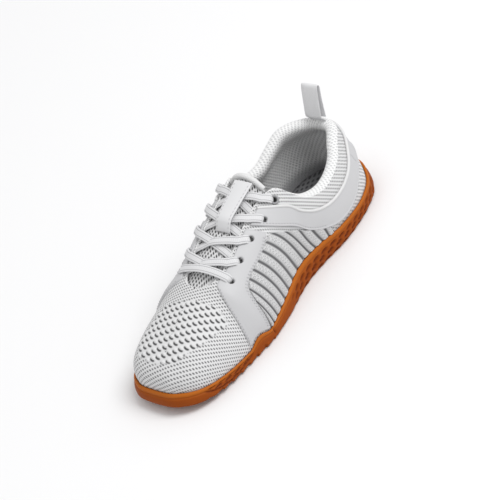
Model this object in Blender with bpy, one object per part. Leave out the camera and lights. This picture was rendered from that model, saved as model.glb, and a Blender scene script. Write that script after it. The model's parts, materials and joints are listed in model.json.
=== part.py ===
"""Barefoot training shoe for the left foot, as the separate pieces that a maker joins.

Design frame: x runs from the back of the heel (0) to the toe, y to the wearer's left, z up
from the floor. The wearer's left is the outer (lateral) side. The last lines move everything
so that the origin is on the floor under the middle of the outsole's box.

Every surface comes from one function of the last, place(s, v). Its s goes once round the
shoe: 0 is the back of the heel, +1 and -1 are the toe tip, plus is lateral, minus is medial.
Its v rises from the lip of the sole (0) to the top line (1).
"""

import math

import bmesh
import bpy
import numpy as np

MM = 0.001

# Driving dimensions
LENGTH = 284.0 * MM
BALL_WIDTH = 96.0 * MM
HEEL_HEIGHT = 68.0 * MM
LIP_HEIGHT = 15.0 * MM
TOE_SPRING = 7.0 * MM
HEEL_SPRING = 2.5 * MM
FLOOR_THICKNESS = 6.0 * MM
LIP_THICKNESS = 2.0 * MM
CUP_DRAFT = 0.8 * MM
WALL = 2.2 * MM
COLLAR_PADDING = 7.5 * MM
INSOLE_THICKNESS = 3.0 * MM
GAP = 0.35 * MM
BALL_TAB_RISE = 5.0 * MM
GROOVE_WIDTH = 2.4 * MM
GROOVE_DEPTH = 1.8 * MM
GROOVE_PITCH = 10.0 * MM
OVERLAY_THICKNESS = 1.0 * MM
RIB_THICKNESS = 2.0 * MM
RIB_BASE = 0.6 * MM
EYELET_BORE = 4.2 * MM
EYELET_RING = 8.0 * MM
EYELET_RING_THICKNESS = 0.9 * MM
TONGUE_THICKNESS = 3.2 * MM
TONGUE_TOP = 8.0 * MM
TONGUE_CROWN = 0.40
LACE_CROWN = 0.34
STRIP_RISE = 6.4 * MM
OVERLAY_FOOT = 0.03
TONGUE_STRIP_THICKNESS = 1.0 * MM
TONGUE_STRIP_WIDTH = 15.0 * MM
LACE_WIDTH = 6.5 * MM
LACE_THICKNESS = 1.5 * MM
LACE_LIFT = 2.2 * MM
PULL_WIDTH = 16.0 * MM
PULL_HEIGHT = 30.0 * MM
PULL_THICKNESS = 1.4 * MM

# Counts of facets
SIDE_STEPS = 31
RISE_STEPS = 8
RIB_ROWS = 4

# Outline of the outsole: station, then shares of LENGTH, of BALL_WIDTH to each side, of
# LIP_HEIGHT, and the tuck of the lip behind the widest line as a share of LIP_HEIGHT
OUTLINE = (
    # station, along, lateral, medial, lip, tuck
    (0.000, 0.000, 0.000, 0.000, 1.37, 0.20),
    (0.045, 0.009, 0.146, 0.156, 1.33, 0.17),
    (0.091, 0.028, 0.250, 0.266, 1.20, 0.10),
    (0.136, 0.070, 0.349, 0.354, 1.00, 0.05),
    (0.182, 0.127, 0.401, 0.396, 0.87, 0.02),
    (0.273, 0.254, 0.432, 0.391, 0.97, 0.04),
    (0.364, 0.359, 0.391, 0.370, 1.17, 0.08),
    (0.455, 0.451, 0.380, 0.385, 1.17, 0.11),
    (0.545, 0.577, 0.438, 0.469, 0.83, 0.10),
    (0.614, 0.669, 0.456, 0.531, 0.65, 0.01),
    (0.682, 0.746, 0.423, 0.552, 0.61, 0.00),
    (0.773, 0.845, 0.389, 0.542, 0.64, 0.03),
    (0.864, 0.930, 0.328, 0.464, 0.71, 0.13),
    (0.909, 0.961, 0.271, 0.385, 0.73, 0.19),
    (0.955, 0.986, 0.177, 0.255, 0.75, 0.23),
    (1.000, 1.000, 0.031, -0.031, 0.76, 0.24),
)

# Top line: collar, throat edge, then the ridge of the vamp. Station, then shares of LENGTH,
# of BALL_WIDTH to each side, and of HEEL_HEIGHT
TOP_LINE = (
    # station, along, lateral, medial, height lateral, height medial
    (0.000, 0.028, 0.000, 0.000, 0.993, 0.993),
    (0.045, 0.033, 0.094, 0.094, 0.993, 0.993),
    (0.091, 0.051, 0.172, 0.172, 0.971, 1.007),
    (0.136, 0.088, 0.229, 0.234, 0.919, 1.059),
    (0.182, 0.134, 0.297, 0.281, 0.838, 1.074),
    (0.227, 0.190, 0.339, 0.302, 0.787, 1.007),
    (0.273, 0.246, 0.349, 0.312, 0.787, 0.949),
    (0.318, 0.303, 0.333, 0.312, 0.882, 1.015),
    (0.364, 0.342, 0.286, 0.297, 1.037, 1.132),
    (0.409, 0.366, 0.198, 0.250, 1.169, 1.213),
    (0.455, 0.430, 0.141, 0.208, 1.162, 1.191),
    (0.500, 0.507, 0.141, 0.203, 1.103, 1.125),
    (0.545, 0.574, 0.146, 0.203, 1.015, 1.037),
    (0.591, 0.641, 0.141, 0.193, 0.934, 0.941),
    (0.636, 0.694, 0.094, 0.141, 0.893, 0.893),
    (0.682, 0.717, -0.031, 0.031, 0.875, 0.875),
    (0.727, 0.750, -0.031, 0.031, 0.838, 0.838),
    (0.773, 0.785, -0.036, 0.036, 0.794, 0.794),
    (0.818, 0.817, -0.042, 0.042, 0.750, 0.750),
    (0.864, 0.845, -0.042, 0.042, 0.706, 0.706),
    (0.909, 0.870, -0.042, 0.042, 0.662, 0.662),
    (0.955, 0.889, -0.042, 0.042, 0.625, 0.625),
    (1.000, 0.901, -0.042, 0.042, 0.603, 0.603),
)
THROAT_END = 0.682
THROAT_SIDE = 0.575
COLLAR_FRONT = 0.375
COLLAR_FADE = 0.05
PADDING_FOOT = 0.55
BALL_TAB = 0.648
BALL_TAB_REACH = 0.042

# Eyelets of one side from the collar to the toe; the other side mirrors them
EYELETS = (
    # station, rise
    (0.428, 0.861),
    (0.472, 0.805),
    (0.516, 0.849),
    (0.561, 0.861),
    (0.606, 0.822),
)

# The heel strap from the middle of the heel to the throat: its low edge and its high edge
STRAP = (
    # low station, low rise, high station, high rise
    (0.000, 0.400, 0.000, 0.900),
    (0.060, 0.395, 0.045, 0.830),
    (0.120, 0.390, 0.090, 0.720),
    (0.165, 0.370, 0.115, 0.620),
    (0.200, 0.230, 0.150, 0.580),
    (0.222, 0.030, 0.190, 0.590),
    (0.250, 0.030, 0.225, 0.540),
    (0.285, 0.030, 0.250, 0.520),
    (0.318, 0.210, 0.290, 0.570),
    (0.360, 0.300, 0.330, 0.615),
    (0.410, 0.365, 0.375, 0.630),
    (0.457, 0.520, 0.415, 0.650),
    (0.477, 0.650, 0.438, 0.750),
    (0.489, 0.790, 0.450, 0.860),
    (0.496, 0.930, 0.463, 0.950),
)

# The saddle from the strap along the throat and down to the sole: rear and front edges
SADDLE = (
    # rear station, rear rise, front station, front rise
    (0.494, 0.720, 0.504, 0.955),
    (0.516, 0.672, 0.535, 0.955),
    (0.545, 0.665, 0.570, 0.955),
    (0.573, 0.675, 0.600, 0.950),
    (0.592, 0.650, 0.628, 0.920),
    (0.604, 0.580, 0.645, 0.800),
    (0.611, 0.400, 0.667, 0.560),
    (0.612, 0.180, 0.680, 0.280),
    (0.613, 0.030, 0.684, 0.030),
)

# Tongue: stations along the throat, the rise where its wing ends and the room it leaves under
# the upper in gaps, then its free end above the collar
TONGUE_STATIONS = (
    # station, rise of the wing's edge, room
    (0.770, 0.80, 3.0),
    (0.725, 0.79, 3.0),
    (0.684, 0.78, 3.0),
    (0.650, 0.78, 2.5),
    (0.610, 0.78, 2.5),
    (0.560, 0.78, 2.5),
    (0.510, 0.80, 2.5),
    (0.465, 0.84, 2.5),
    (0.430, 0.94, 3.5),
)
TONGUE_END = (
    # share of TONGUE_TOP up, narrowing, droop of the corners
    (0.4, 0.92, 0.05),
    (0.8, 0.86, 0.20),
    (1.0, 0.80, 0.38),
)
TONGUE_LEAN = (-0.40, 0.0, 0.92)

# The smooth strip down the middle of the tongue, over the upper crossings of the lace
TONGUE_STRIP = (
    # station, share of TONGUE_STRIP_WIDTH, share of STRIP_RISE over the tongue
    (0.430, 1.35, 0.95),
    (0.442, 1.20, 1.00),
    (0.460, 1.05, 1.00),
    (0.480, 0.95, 1.00),
    (0.500, 0.80, 1.00),
    (0.512, 0.75, 0.50),
    (0.520, 0.75, 0.00),
)

# Crossings of the lace: the eyelet where each run ends on top, counted from the collar, and
# the eyelet across the throat where it comes from under the edge
LACE_RUNS = (
    # eyelet above, eyelet below
    (1, 2),
    (2, 3),
    (3, 4),
    (4, 5),
)

# The pull loop seen from the side, from its inner foot over the top to its outer foot
PULL_LOOP = (
    # forward of the collar's top, above it, as shares of PULL_HEIGHT
    (0.385, -0.170),
    (0.380, -0.030),
    (0.340, 0.080),
    (0.270, 0.220),
    (0.110, 0.680),
    (0.015, 0.930),
    (-0.035, 1.015),
    (-0.080, 1.020),
    (-0.110, 0.960),
    (-0.090, 0.850),
    (0.000, 0.550),
    (0.110, 0.080),
)

# The dark grooves between the knitted ribs, from the heel to the ball
RIB_GROOVES = (
    # station at the sole, station at the top, rise at the top
    (0.300, 0.302, 0.100),
    (0.320, 0.324, 0.185),
    (0.342, 0.362, 0.275),
    (0.370, 0.408, 0.340),
    (0.396, 0.452, 0.470),
    (0.425, 0.482, 0.620),
    (0.458, 0.503, 0.640),
    (0.484, 0.522, 0.645),
    (0.508, 0.542, 0.645),
    (0.530, 0.561, 0.645),
    (0.552, 0.580, 0.635),
    (0.573, 0.596, 0.560),
    (0.592, 0.604, 0.390),
    (0.605, 0.606, 0.150),
)

# Runs of tread grooves across the sole
TREAD = (
    # first and last place along LENGTH, turn in radians
    (0.055, 0.20, 0.10),
    (0.60, 0.945, -0.14),
)
RIB_PROFILE = (
    # share of the way to the next groove, share of the rib's height
    (0.00, 0.00),
    (0.28, 0.95),
    (0.72, 0.95),
)

# How each rise leaves the lip and meets the top line: outward lean at the lip, slope of the
# surface at the top line in degrees, and the two handles as shares of the chord
RISE = (
    # station, lean, slope, low handle, high handle
    (0.000, 0.02, 80.0, 0.35, 0.30),
    (0.182, 0.06, 80.0, 0.35, 0.30),
    (0.273, 0.10, 80.0, 0.35, 0.30),
    (0.364, 0.12, 58.0, 0.36, 0.30),
    (0.455, 0.12, 33.0, 0.40, 0.36),
    (0.614, 0.10, 26.0, 0.38, 0.38),
    (0.773, 0.08, 18.0, 0.38, 0.40),
    (0.909, 0.06, 10.0, 0.42, 0.44),
    (1.000, 0.06, 6.0, 0.44, 0.45),
)

# Side of the outsole from the floor up: how far out, and the share of the lip's height
SOLE_SIDE = (
    # outward, share of height
    (-2.6, 0.00),
    (-0.7, 0.08),
    (0.0, 0.25),
    (-0.2, 0.62),
    (-0.9, 0.72),
    (-0.3, 0.82),
    (-0.2, 0.94),
    (-0.8, 1.00),
)


def remove_everything():
    for item in list(bpy.data.objects):
        bpy.data.objects.remove(item, do_unlink=True)


def through(knots, values, s):
    """Smooth closed curve of period 2 through the values at the knots."""
    knots = np.asarray(knots, float)
    values = np.asarray(values, float)
    count = len(knots)
    wide = np.concatenate([knots - 2.0, knots, knots + 2.0])
    tall = np.concatenate([values, values, values])
    step = np.diff(wide)
    rise = np.diff(tall) / step
    slope = np.zeros(len(wide))
    slope[1:-1] = (step[:-1] * rise[1:] + step[1:] * rise[:-1]) / (step[:-1] + step[1:])
    s = np.asarray(s, float)
    place_in = np.clip(np.searchsorted(wide, s, side="right") - 1, count - 2, 2 * count + 1)
    h = step[place_in]
    t = (s - wide[place_in]) / h
    return ((2 * t**3 - 3 * t**2 + 1) * tall[place_in] + (t**3 - 2 * t**2 + t) * h * slope[place_in]
            + (3 * t**2 - 2 * t**3) * tall[place_in + 1]
            + (t**3 - t**2) * h * slope[place_in + 1])


def both_sides(rows, lateral, medial, s, sign=1.0):
    """A column of a table round the shoe; the medial column counts sign times."""
    stations = [row[0] for row in rows]
    knots = [-a for a in reversed(stations[1:-1])] + stations
    values = [sign * row[medial] for row in reversed(rows[1:-1])] + [row[lateral] for row in rows]
    return through(knots, values, s)


def outline(s):
    x = LENGTH * both_sides(OUTLINE, 1, 1, s)
    y = BALL_WIDTH * both_sides(OUTLINE, 2, 3, s, -1.0)
    return x, y


def outward(s):
    """Unit direction in plan that leaves the outline at s."""
    step = 0.004
    x0, y0 = outline(s - step)
    x1, y1 = outline(s + step)
    run = np.hypot(x1 - x0, y1 - y0)
    return -(y1 - y0) / run, (x1 - x0) / run


def ground(x):
    """Height of the underside: flat, with a little spring at the toe and the heel."""
    toe = np.clip((x / LENGTH - 0.70) / 0.30, 0.0, 1.0)
    heel = np.clip(1.0 - x / LENGTH / 0.10, 0.0, 1.0)
    return TOE_SPRING * toe**2 + HEEL_SPRING * heel**2


def lip_height(s):
    """Height of the sole's lip, with the tab that rises over the saddle at the ball."""
    away = np.clip(np.abs(np.abs(s) - BALL_TAB) / BALL_TAB_REACH, 0.0, 1.0)
    tab = BALL_TAB_RISE * (1.0 - away**2) ** 2
    return LIP_HEIGHT * both_sides(OUTLINE, 4, 4, s) + tab


def lip_tuck(s):
    return LIP_HEIGHT * both_sides(OUTLINE, 5, 5, s)


def beside(s, out, height):
    """Point at a height over the underside, out from the outline (negative is inwards)."""
    x, y = outline(s)
    nx, ny = outward(s)
    px, py = x + out * nx, y + out * ny
    return np.stack([px, py, ground(x) + height], axis=-1)


def feather(s):
    """Where the upper's outer face leaves the lip."""
    return beside(s, -(lip_tuck(s) + LIP_THICKNESS + GAP), lip_height(s))


def top_line(s):
    x = LENGTH * both_sides(TOP_LINE, 1, 1, s)
    y = BALL_WIDTH * both_sides(TOP_LINE, 2, 3, s, -1.0)
    z = HEEL_HEIGHT * both_sides(TOP_LINE, 4, 5, s)
    a = np.abs(s)
    ridge = np.clip((a - THROAT_END) / (1.0 - THROAT_END), 0.0, 1.0)
    middle = np.interp(a, [row[0] for row in TOP_LINE], [BALL_WIDTH * row[2] for row in TOP_LINE])
    return np.stack([x, np.where(ridge > 0.0, middle, y), z], axis=-1)


def ease(share):
    """Smooth step from 0 to 1."""
    share = np.clip(share, 0.0, 1.0)
    return share * share * (3.0 - 2.0 * share)


def unit(vectors):
    return vectors / np.linalg.norm(vectors, axis=-1, keepdims=True)


def handles(s):
    """The four control points of the rise at s."""
    low = feather(s)
    high = top_line(s)
    nx, ny = outward(s)
    lean = both_sides(RISE, 1, 1, s)
    slope = np.radians(both_sides(RISE, 2, 2, s))
    near = both_sides(RISE, 3, 3, s)
    far = both_sides(RISE, 4, 4, s)
    chord = np.linalg.norm(high - low, axis=-1)
    leave = unit(np.stack([lean * nx, lean * ny, np.ones_like(lean)], axis=-1))
    inward = unit(np.stack([-nx, -ny, np.zeros_like(nx)], axis=-1))
    up = np.array([0.0, 0.0, 1.0])
    arrive = np.cos(slope)[..., None] * inward + np.sin(slope)[..., None] * up
    across = unit((high - low) * np.array([1.0, 1.0, 0.0]))
    step = 0.01
    a = np.clip(np.abs(s), THROAT_END + step, 1.0 - step)
    ahead = top_line(a + step) - top_line(a - step)
    grade = ahead[..., 2] / ahead[..., 0]
    along_ridge = unit(np.stack([across[..., 0], across[..., 1], across[..., 0] * grade], axis=-1))
    share = ease((np.abs(s) - THROAT_SIDE) / (THROAT_END - THROAT_SIDE))[..., None]
    arrive = unit(arrive * (1.0 - share) + along_ridge * share)
    return low, low + leave * (near * chord)[..., None], high - arrive * (far * chord)[..., None], high


def place(s, v):
    """Point on the outer face of the upper."""
    s, v = np.broadcast_arrays(np.asarray(s, float), np.asarray(v, float))
    p0, p1, p2, p3 = handles(s)
    t = v[..., None]
    return ((1 - t) ** 3 * p0 + 3 * t * (1 - t) ** 2 * p1 + 3 * t**2 * (1 - t) * p2 + t**3 * p3)


def lifted(s, v, lift):
    """Point at a distance out from the upper's outer face."""
    s, v = np.broadcast_arrays(np.asarray(s, float), np.asarray(v, float))
    e = 0.003
    along = place(s + e, v) - place(s - e, v)
    rise = place(s, v + e) - place(s, v - e)
    normal = unit(np.cross(rise, along))
    return place(s, v) + normal * np.asarray(lift, float)[..., None]


def stations(steps=SIDE_STEPS):
    """Stations once round the shoe, evenly spaced: heel, lateral, toe, medial."""
    half = np.linspace(0.0, 1.0, steps + 1)
    return np.concatenate([half, -half[-2:0:-1]])


def thickness_of(s, level):
    """Wall of the upper; the collar is padded at its edge, fading down and forward."""
    front = ease((COLLAR_FRONT - np.abs(s)) / COLLAR_FADE)
    low = ease((level - PADDING_FOOT) / (1.0 - PADDING_FOOT))
    return WALL + COLLAR_PADDING * front * low


def rise_top(s):
    """Rise at which the rounded edge of the collar and the throat begins."""
    low, _, _, high = handles(s)
    chord = np.linalg.norm(high - low, axis=-1)
    open_edge = np.abs(s) < THROAT_END
    return np.where(open_edge, 1.0 - thickness_of(s, 1.0) / 2.0 / chord, 1.0)


def material(name, color, roughness):
    made = bpy.data.materials.new(name)
    made.use_nodes = True
    shader = made.node_tree.nodes["Principled BSDF"]
    shader.inputs["Base Color"].default_value = (*color, 1.0)
    shader.inputs["Roughness"].default_value = roughness
    shader.inputs["Metallic"].default_value = 0.0
    return made


def solid(name, verts, faces, surface):
    """A named object from points and faces, welded, with its faces pointing out."""
    mesh = bpy.data.meshes.new(name)
    mesh.from_pydata([tuple(map(float, v)) for v in verts], [], faces)
    work = bmesh.new()
    work.from_mesh(mesh)
    bmesh.ops.remove_doubles(work, verts=work.verts, dist=0.00001)
    bmesh.ops.dissolve_degenerate(work, edges=work.edges, dist=0.00001)
    bmesh.ops.recalc_face_normals(work, faces=work.faces)
    work.to_mesh(mesh)
    work.free()
    made = bpy.data.objects.new(name, mesh)
    bpy.context.scene.collection.objects.link(made)
    mesh.materials.append(surface)
    mesh.shade_smooth()
    mesh.set_sharp_from_angle(angle=math.radians(40.0))
    return made


def joined_rings(rings):
    """Facets between closed rings of points, one after the other."""
    count = len(rings[0])
    verts = [p for ring in rings for p in ring]
    faces = []
    for low in range(len(rings) - 1):
        for i in range(count):
            a, b = low * count + i, low * count + (i + 1) % count
            faces.append((a, b, b + count))
            faces.append((a, b + count, a + count))
    return verts, faces


def strips(start, count):
    """Faces that close a ring across the shoe, from the heel to the toe."""
    half = count // 2
    faces = [(start, start + 1, start + count - 1)]
    for i in range(1, half - 1):
        faces.append((start + i, start + i + 1, start + count - i - 1, start + count - i))
    faces.append((start + half - 1, start + half, start + half + 1))
    return faces


def build_outsole(surface):
    s = stations()
    height = lip_height(s)
    tuck = lip_tuck(s)
    rings = []
    for out, share in SOLE_SIDE:
        rings.append(beside(s, out * MM - tuck * share**2, height * share))
    rings.append(beside(s, -(tuck + LIP_THICKNESS), height))
    rings.append(beside(s, -(tuck + LIP_THICKNESS + CUP_DRAFT), np.full_like(s, FLOOR_THICKNESS)))
    verts, faces = joined_rings(rings)
    count = len(s)
    faces += strips(0, count)
    faces += strips((len(rings) - 1) * count, count)
    return solid("outsole", verts, faces, surface)


def outer_grid():
    """The upper's outer face: stations, levels, rings of points from the foot up and normals."""
    s = stations()
    levels = np.linspace(0.0, 1.0, RISE_STEPS + 1)
    edge = rise_top(s)
    rings = [beside(s, -(lip_tuck(s) + LIP_THICKNESS + CUP_DRAFT + GAP),
                    np.full_like(s, FLOOR_THICKNESS + GAP))]
    rings += [place(s, edge * level) for level in levels]
    rings = np.array(rings)
    around = np.roll(rings, -1, axis=1)
    across = np.cross(rings[1:] - around[:-1], around[1:] - rings[:-1])
    normal = np.zeros_like(rings)
    for facets in (across, np.roll(across, 1, axis=1)):
        normal[1:] += facets
        normal[:-1] += facets
    # Both sides of the vamp's ridge share one point
    count = len(s)
    for i in range(1, count // 2):
        if s[i] >= THROAT_END:
            shared = normal[-1, i] + normal[-1, count - i]
            normal[-1, i] = shared
            normal[-1, count - i] = shared
    return s, levels, rings, unit(normal)


def build_upper(surface):
    s, levels, outer, normals = outer_grid()
    thickness = np.array([np.full_like(s, WALL)] + [thickness_of(s, level) for level in levels])
    count = len(s)
    points, faces = joined_rings(list(outer))
    points = np.array(points)
    top = (len(outer) - 1) * count
    inner = (outer - normals * thickness[..., None]).reshape(-1, 3)
    normal = normals.reshape(-1, 3)
    total = len(points)
    all_points = list(points) + list(inner)
    all_faces = list(faces) + [tuple(total + k for k in reversed(f)) for f in faces]
    for i in range(count):
        j = (i + 1) % count
        all_faces.append((j, i, total + i, total + j))
    # Rounded edge along the collar and the throat
    arcs = {}
    rise = unit(outer[-1] - outer[-2])
    for i in range(count):
        if abs(s[i]) < THROAT_END:
            middle = (points[top + i] + inner[top + i]) / 2
            radius = thickness[-1][i] / 2
            arcs[i] = [top + i]
            for angle in (45.0, 90.0, 135.0):
                turn = math.radians(angle)
                at = middle + radius * (math.cos(turn) * normal[top + i] + math.sin(turn) * rise[i])
                arcs[i].append(len(all_points))
                all_points.append(at)
            arcs[i].append(total + top + i)
        else:
            arcs[i] = [top + i] * 4 + [total + top + i]
    for i in range(count):
        j = (i + 1) % count
        open_i, open_j = abs(s[i]) < THROAT_END, abs(s[j]) < THROAT_END
        if not open_i and not open_j:
            continue
        for k in range(4):
            quad = (arcs[i][k], arcs[j][k], arcs[j][k + 1], arcs[i][k + 1])
            face = tuple(dict.fromkeys(quad))
            if len(face) > 2:
                all_faces.append(face)
    return solid("upper", all_points, all_faces, surface)


def cut(target, cutter):
    """Takes the cutter's shape out of the target."""
    cutter.hide_render = True
    cutter.display_type = "WIRE"
    modifier = target.modifiers.new("cut", "BOOLEAN")
    modifier.operation = "DIFFERENCE"
    modifier.object = cutter


def boxes(name, places, size, surface):
    """One object of separate boxes, each a centre with a turn about z."""
    verts, faces = [], []
    sides = ((0, 1, 3, 2), (4, 6, 7, 5), (0, 4, 5, 1), (2, 3, 7, 6), (0, 2, 6, 4), (1, 5, 7, 3))
    for centre, turn in places:
        start = len(verts)
        for dx in (-0.5, 0.5):
            for dy in (-0.5, 0.5):
                for dz in (-0.5, 0.5):
                    x, y = dx * size[0], dy * size[1]
                    verts.append((centre[0] + x * math.cos(turn) - y * math.sin(turn),
                                  centre[1] + x * math.sin(turn) + y * math.cos(turn),
                                  centre[2] + dz * size[2]))
        faces += [tuple(start + k for k in face) for face in sides]
    return solid(name, verts, faces, surface)


def build_tread_cutter(surface):
    """Grooves across the forefoot and the heel that leave the main lugs."""
    places = []
    for first, last, turn in TREAD:
        steps = int((last - first) * LENGTH / GROOVE_PITCH) + 1
        for i in range(steps):
            x = first * LENGTH + i * GROOVE_PITCH
            places.append(((x, 0.0, float(ground(x))), turn))
    size = (GROOVE_WIDTH, 2 * BALL_WIDTH, 2 * GROOVE_DEPTH)
    return boxes("tread_cutter", places, size, surface)


def build_insole(surface):
    s = stations()
    inset = lip_tuck(s) + LIP_THICKNESS + CUP_DRAFT + 2 * GAP + WALL
    low = np.full_like(s, FLOOR_THICKNESS + GAP)
    rings = [beside(s, -inset - 0.3 * MM, low), beside(s, -inset, low + INSOLE_THICKNESS)]
    verts, faces = joined_rings(rings)
    faces += strips(0, len(s)) + strips(len(s), len(s))
    return solid("insole", verts, faces, surface)


def slab(name, low, high, surface):
    """A closed sheet between two grids of points of the same shape."""
    rows, columns = low.shape[:2]
    verts = list(high.reshape(-1, 3)) + list(low.reshape(-1, 3))
    under = rows * columns
    faces = []
    for i in range(rows - 1):
        for j in range(columns - 1):
            a = i * columns + j
            quad = (a, a + 1, a + columns + 1, a + columns)
            faces.append(quad)
            faces.append(tuple(under + k for k in reversed(quad)))
    border = list(range(columns))
    border += [i * columns + columns - 1 for i in range(1, rows)]
    border += [(rows - 1) * columns + j for j in range(columns - 2, -1, -1)]
    border += [i * columns for i in range(rows - 2, 0, -1)]
    for k, a in enumerate(border):
        b = border[(k + 1) % len(border)]
        faces.append((b, a, under + a, under + b))
    return solid(name, verts, faces, surface)


def resample(rows, columns, per_row):
    """Smooth values between the rows of a table, per_row steps from each row to the next."""
    data = np.array([[row[c] for c in columns] for row in rows], float)
    knots = np.arange(len(rows), dtype=float)
    slope = np.gradient(data, axis=0)
    steps = np.linspace(0.0, len(rows) - 1.0, (len(rows) - 1) * per_row + 1)
    low = np.minimum(steps.astype(int), len(rows) - 2)
    t = (steps - knots[low])[:, None]
    return ((2 * t**3 - 3 * t**2 + 1) * data[low] + (t**3 - 2 * t**2 + t) * slope[low]
            + (3 * t**2 - 2 * t**3) * data[low + 1] + (t**3 - t**2) * slope[low + 1])


def build_overlay(name, edges, thickness, surface):
    """An overlay between two edges, cut from a skin that follows the upper's own facets."""
    s, _, rings, normals = outer_grid()
    count = len(s)
    low = rings[1:] + normals[1:] * GAP
    high = rings[1:] + normals[1:] * (GAP + thickness)
    points, faces = joined_rings(list(high))
    under = len(points)
    points = list(points) + list(low.reshape(-1, 3))
    faces += [tuple(under + k for k in reversed(face)) for face in faces]
    for start in (0, under - count):
        for i in range(count):
            j = (i + 1) % count
            if start == 0 or min(abs(s[i]), abs(s[j])) < THROAT_END:
                faces.append((start + i, start + j, under + start + j, under + start + i))
    made = solid(name, points, faces, surface)
    shares = np.linspace(0.0, 1.0, 4)
    at = edges[:, 0:1] * (1 - shares) + edges[:, 2:3] * shares
    rise = edges[:, 1:2] * (1 - shares) + edges[:, 3:4] * shares
    outline_of = slab(name + "_outline", lifted(at, rise, np.full_like(at, -2 * thickness)),
                      lifted(at, rise, np.full_like(at, 4 * thickness)), surface)
    outline_of.hide_render = True
    outline_of.display_type = "WIRE"
    modifier = made.modifiers.new("outline", "BOOLEAN")
    modifier.operation = "INTERSECT"
    modifier.object = outline_of
    return made


def build_strap(surface):
    half = resample(STRAP, (0, 1, 2, 3), 1)
    other = half[:0:-1] * np.array([-1.0, 1.0, -1.0, 1.0])
    return build_overlay("heel_strap", np.concatenate([other, half]), OVERLAY_THICKNESS, surface)


def build_saddle(name, side, surface):
    edges = resample(SADDLE, (0, 1, 2, 3), 2) * np.array([side, 1.0, side, 1.0])
    return build_overlay(name, edges, OVERLAY_THICKNESS, surface)


def build_ribs(name, side, surface):
    """Knitted ribs that run down from the strap and the saddle to the sole."""
    columns, heights = [], []
    for here, there in zip(RIB_GROOVES[:-1], RIB_GROOVES[1:]):
        for share, height in RIB_PROFILE:
            columns.append([a * (1 - share) + b * share for a, b in zip(here, there)])
            heights.append(RIB_BASE + (RIB_THICKNESS - RIB_BASE) * height)
    columns.append(list(RIB_GROOVES[-1]))
    heights.append(RIB_BASE)
    columns = np.array(columns)
    up = np.linspace(0.0, 1.0, RIB_ROWS)
    s = columns[:, 0:1] * (1 - up) + columns[:, 1:2] * up
    v = OVERLAY_FOOT * (1 - up) + columns[:, 2:3] * up
    tops = 3 * GAP + np.array(heights)[:, None] * np.ones_like(up)
    return slab(name, lifted(side * s, v, np.full_like(s, 3 * GAP)), lifted(side * s, v, tops), surface)


def spread(rows, steps):
    """Smooth values through a table's rows, steps of them from the first row to the last."""
    fine = resample(rows, range(len(rows[0])), steps)
    share = np.linspace(0.0, len(fine) - 1.0, steps)
    return np.array([np.interp(share, range(len(fine)), fine[:, c]) for c in range(fine.shape[1])]).T


def edge_rise(station):
    """Rise of the last point that still lies on the flat of the upper beside the throat."""
    near = np.full(1, min(station, THROAT_END - 0.001))
    back = 0.03 * ease((station - THROAT_SIDE) / (THROAT_END - THROAT_SIDE))
    return float(rise_top(near)[0]) - float(back)


def crown(station, shares, lift, bulge):
    """Points over the throat at a station, from its lateral edge to its medial edge."""
    top = edge_rise(station)
    step = 0.01
    ends = []
    for side in (1.0, -1.0):
        at = lifted(side * station, top, lift)
        ends.append((at, at - lifted(side * station, top - step, lift)))
    (a, leave_a), (b, leave_b) = ends
    reach = np.linalg.norm(a - b) * bulge
    leave_a, leave_b = unit(leave_a) * reach, unit(leave_b) * reach
    points = []
    for t in shares:
        points.append((1 - t) ** 3 * a + 3 * t * (1 - t) ** 2 * (a + leave_a)
                      + 3 * t**2 * (1 - t) * (b + leave_b) + t**3 * b)
    return np.array(points)


def tongue_rows(depth):
    """The tongue's face at a depth under the upper's wall, one row for each station."""
    rows = []
    for station, wing, room in TONGUE_STATIONS:
        lift = -(WALL + room * GAP + depth)
        rises = np.linspace(wing, edge_rise(station), 4)
        left = lifted(station, rises, np.full(4, lift))
        right = lifted(-station, rises, np.full(4, lift))
        middle = crown(station, np.linspace(0.0, 1.0, 7)[1:-1], lift, TONGUE_CROWN)
        rows.append(np.concatenate([left, middle, right[::-1]]))
    base = rows[-1]
    middle = base.mean(axis=0)
    half = np.abs(base[:, 1] - middle[1]).max()
    for step, narrow, droop in TONGUE_END:
        row = middle + (base - middle) * np.array([1.0, narrow, 1.0])
        row = row + np.array(TONGUE_LEAN) * TONGUE_TOP * step
        row[:, 2] -= droop * TONGUE_TOP * ((row[:, 1] - middle[1]) / half) ** 2
        rows.append(row)
    return np.array(rows)


def build_tongue(surface):
    return slab("tongue", tongue_rows(TONGUE_THICKNESS), tongue_rows(0.0), surface)


def over_tongue(station, across, height):
    """Point over the middle of the tongue, at a distance across and a height over its face."""
    base = -(WALL + GAP)
    shares = np.array([0.42, 0.5, 0.58])
    a, middle, b = crown(station, shares, base, TONGUE_CROWN)
    ahead = crown(station + 0.01, shares, base, TONGUE_CROWN)[1]
    side = unit(a - b)
    normal = unit(np.cross(ahead - middle, side))
    return middle + side * across + normal * height


def build_tongue_strip(surface):
    low, high = [], []
    for station, width, rise in spread(TONGUE_STRIP, 11):
        for rows, extra in ((low, 0.0), (high, TONGUE_STRIP_THICKNESS)):
            half = width * TONGUE_STRIP_WIDTH / 2
            height = GAP + STRIP_RISE * rise + extra
            sag = GAP * 2
            rows.append([over_tongue(station, across * half, height - sag * abs(across))
                         for across in (-1.0, -0.5, 0.0, 0.5, 1.0)])
    return slab("tongue_strip", np.array(low), np.array(high), surface)


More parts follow.
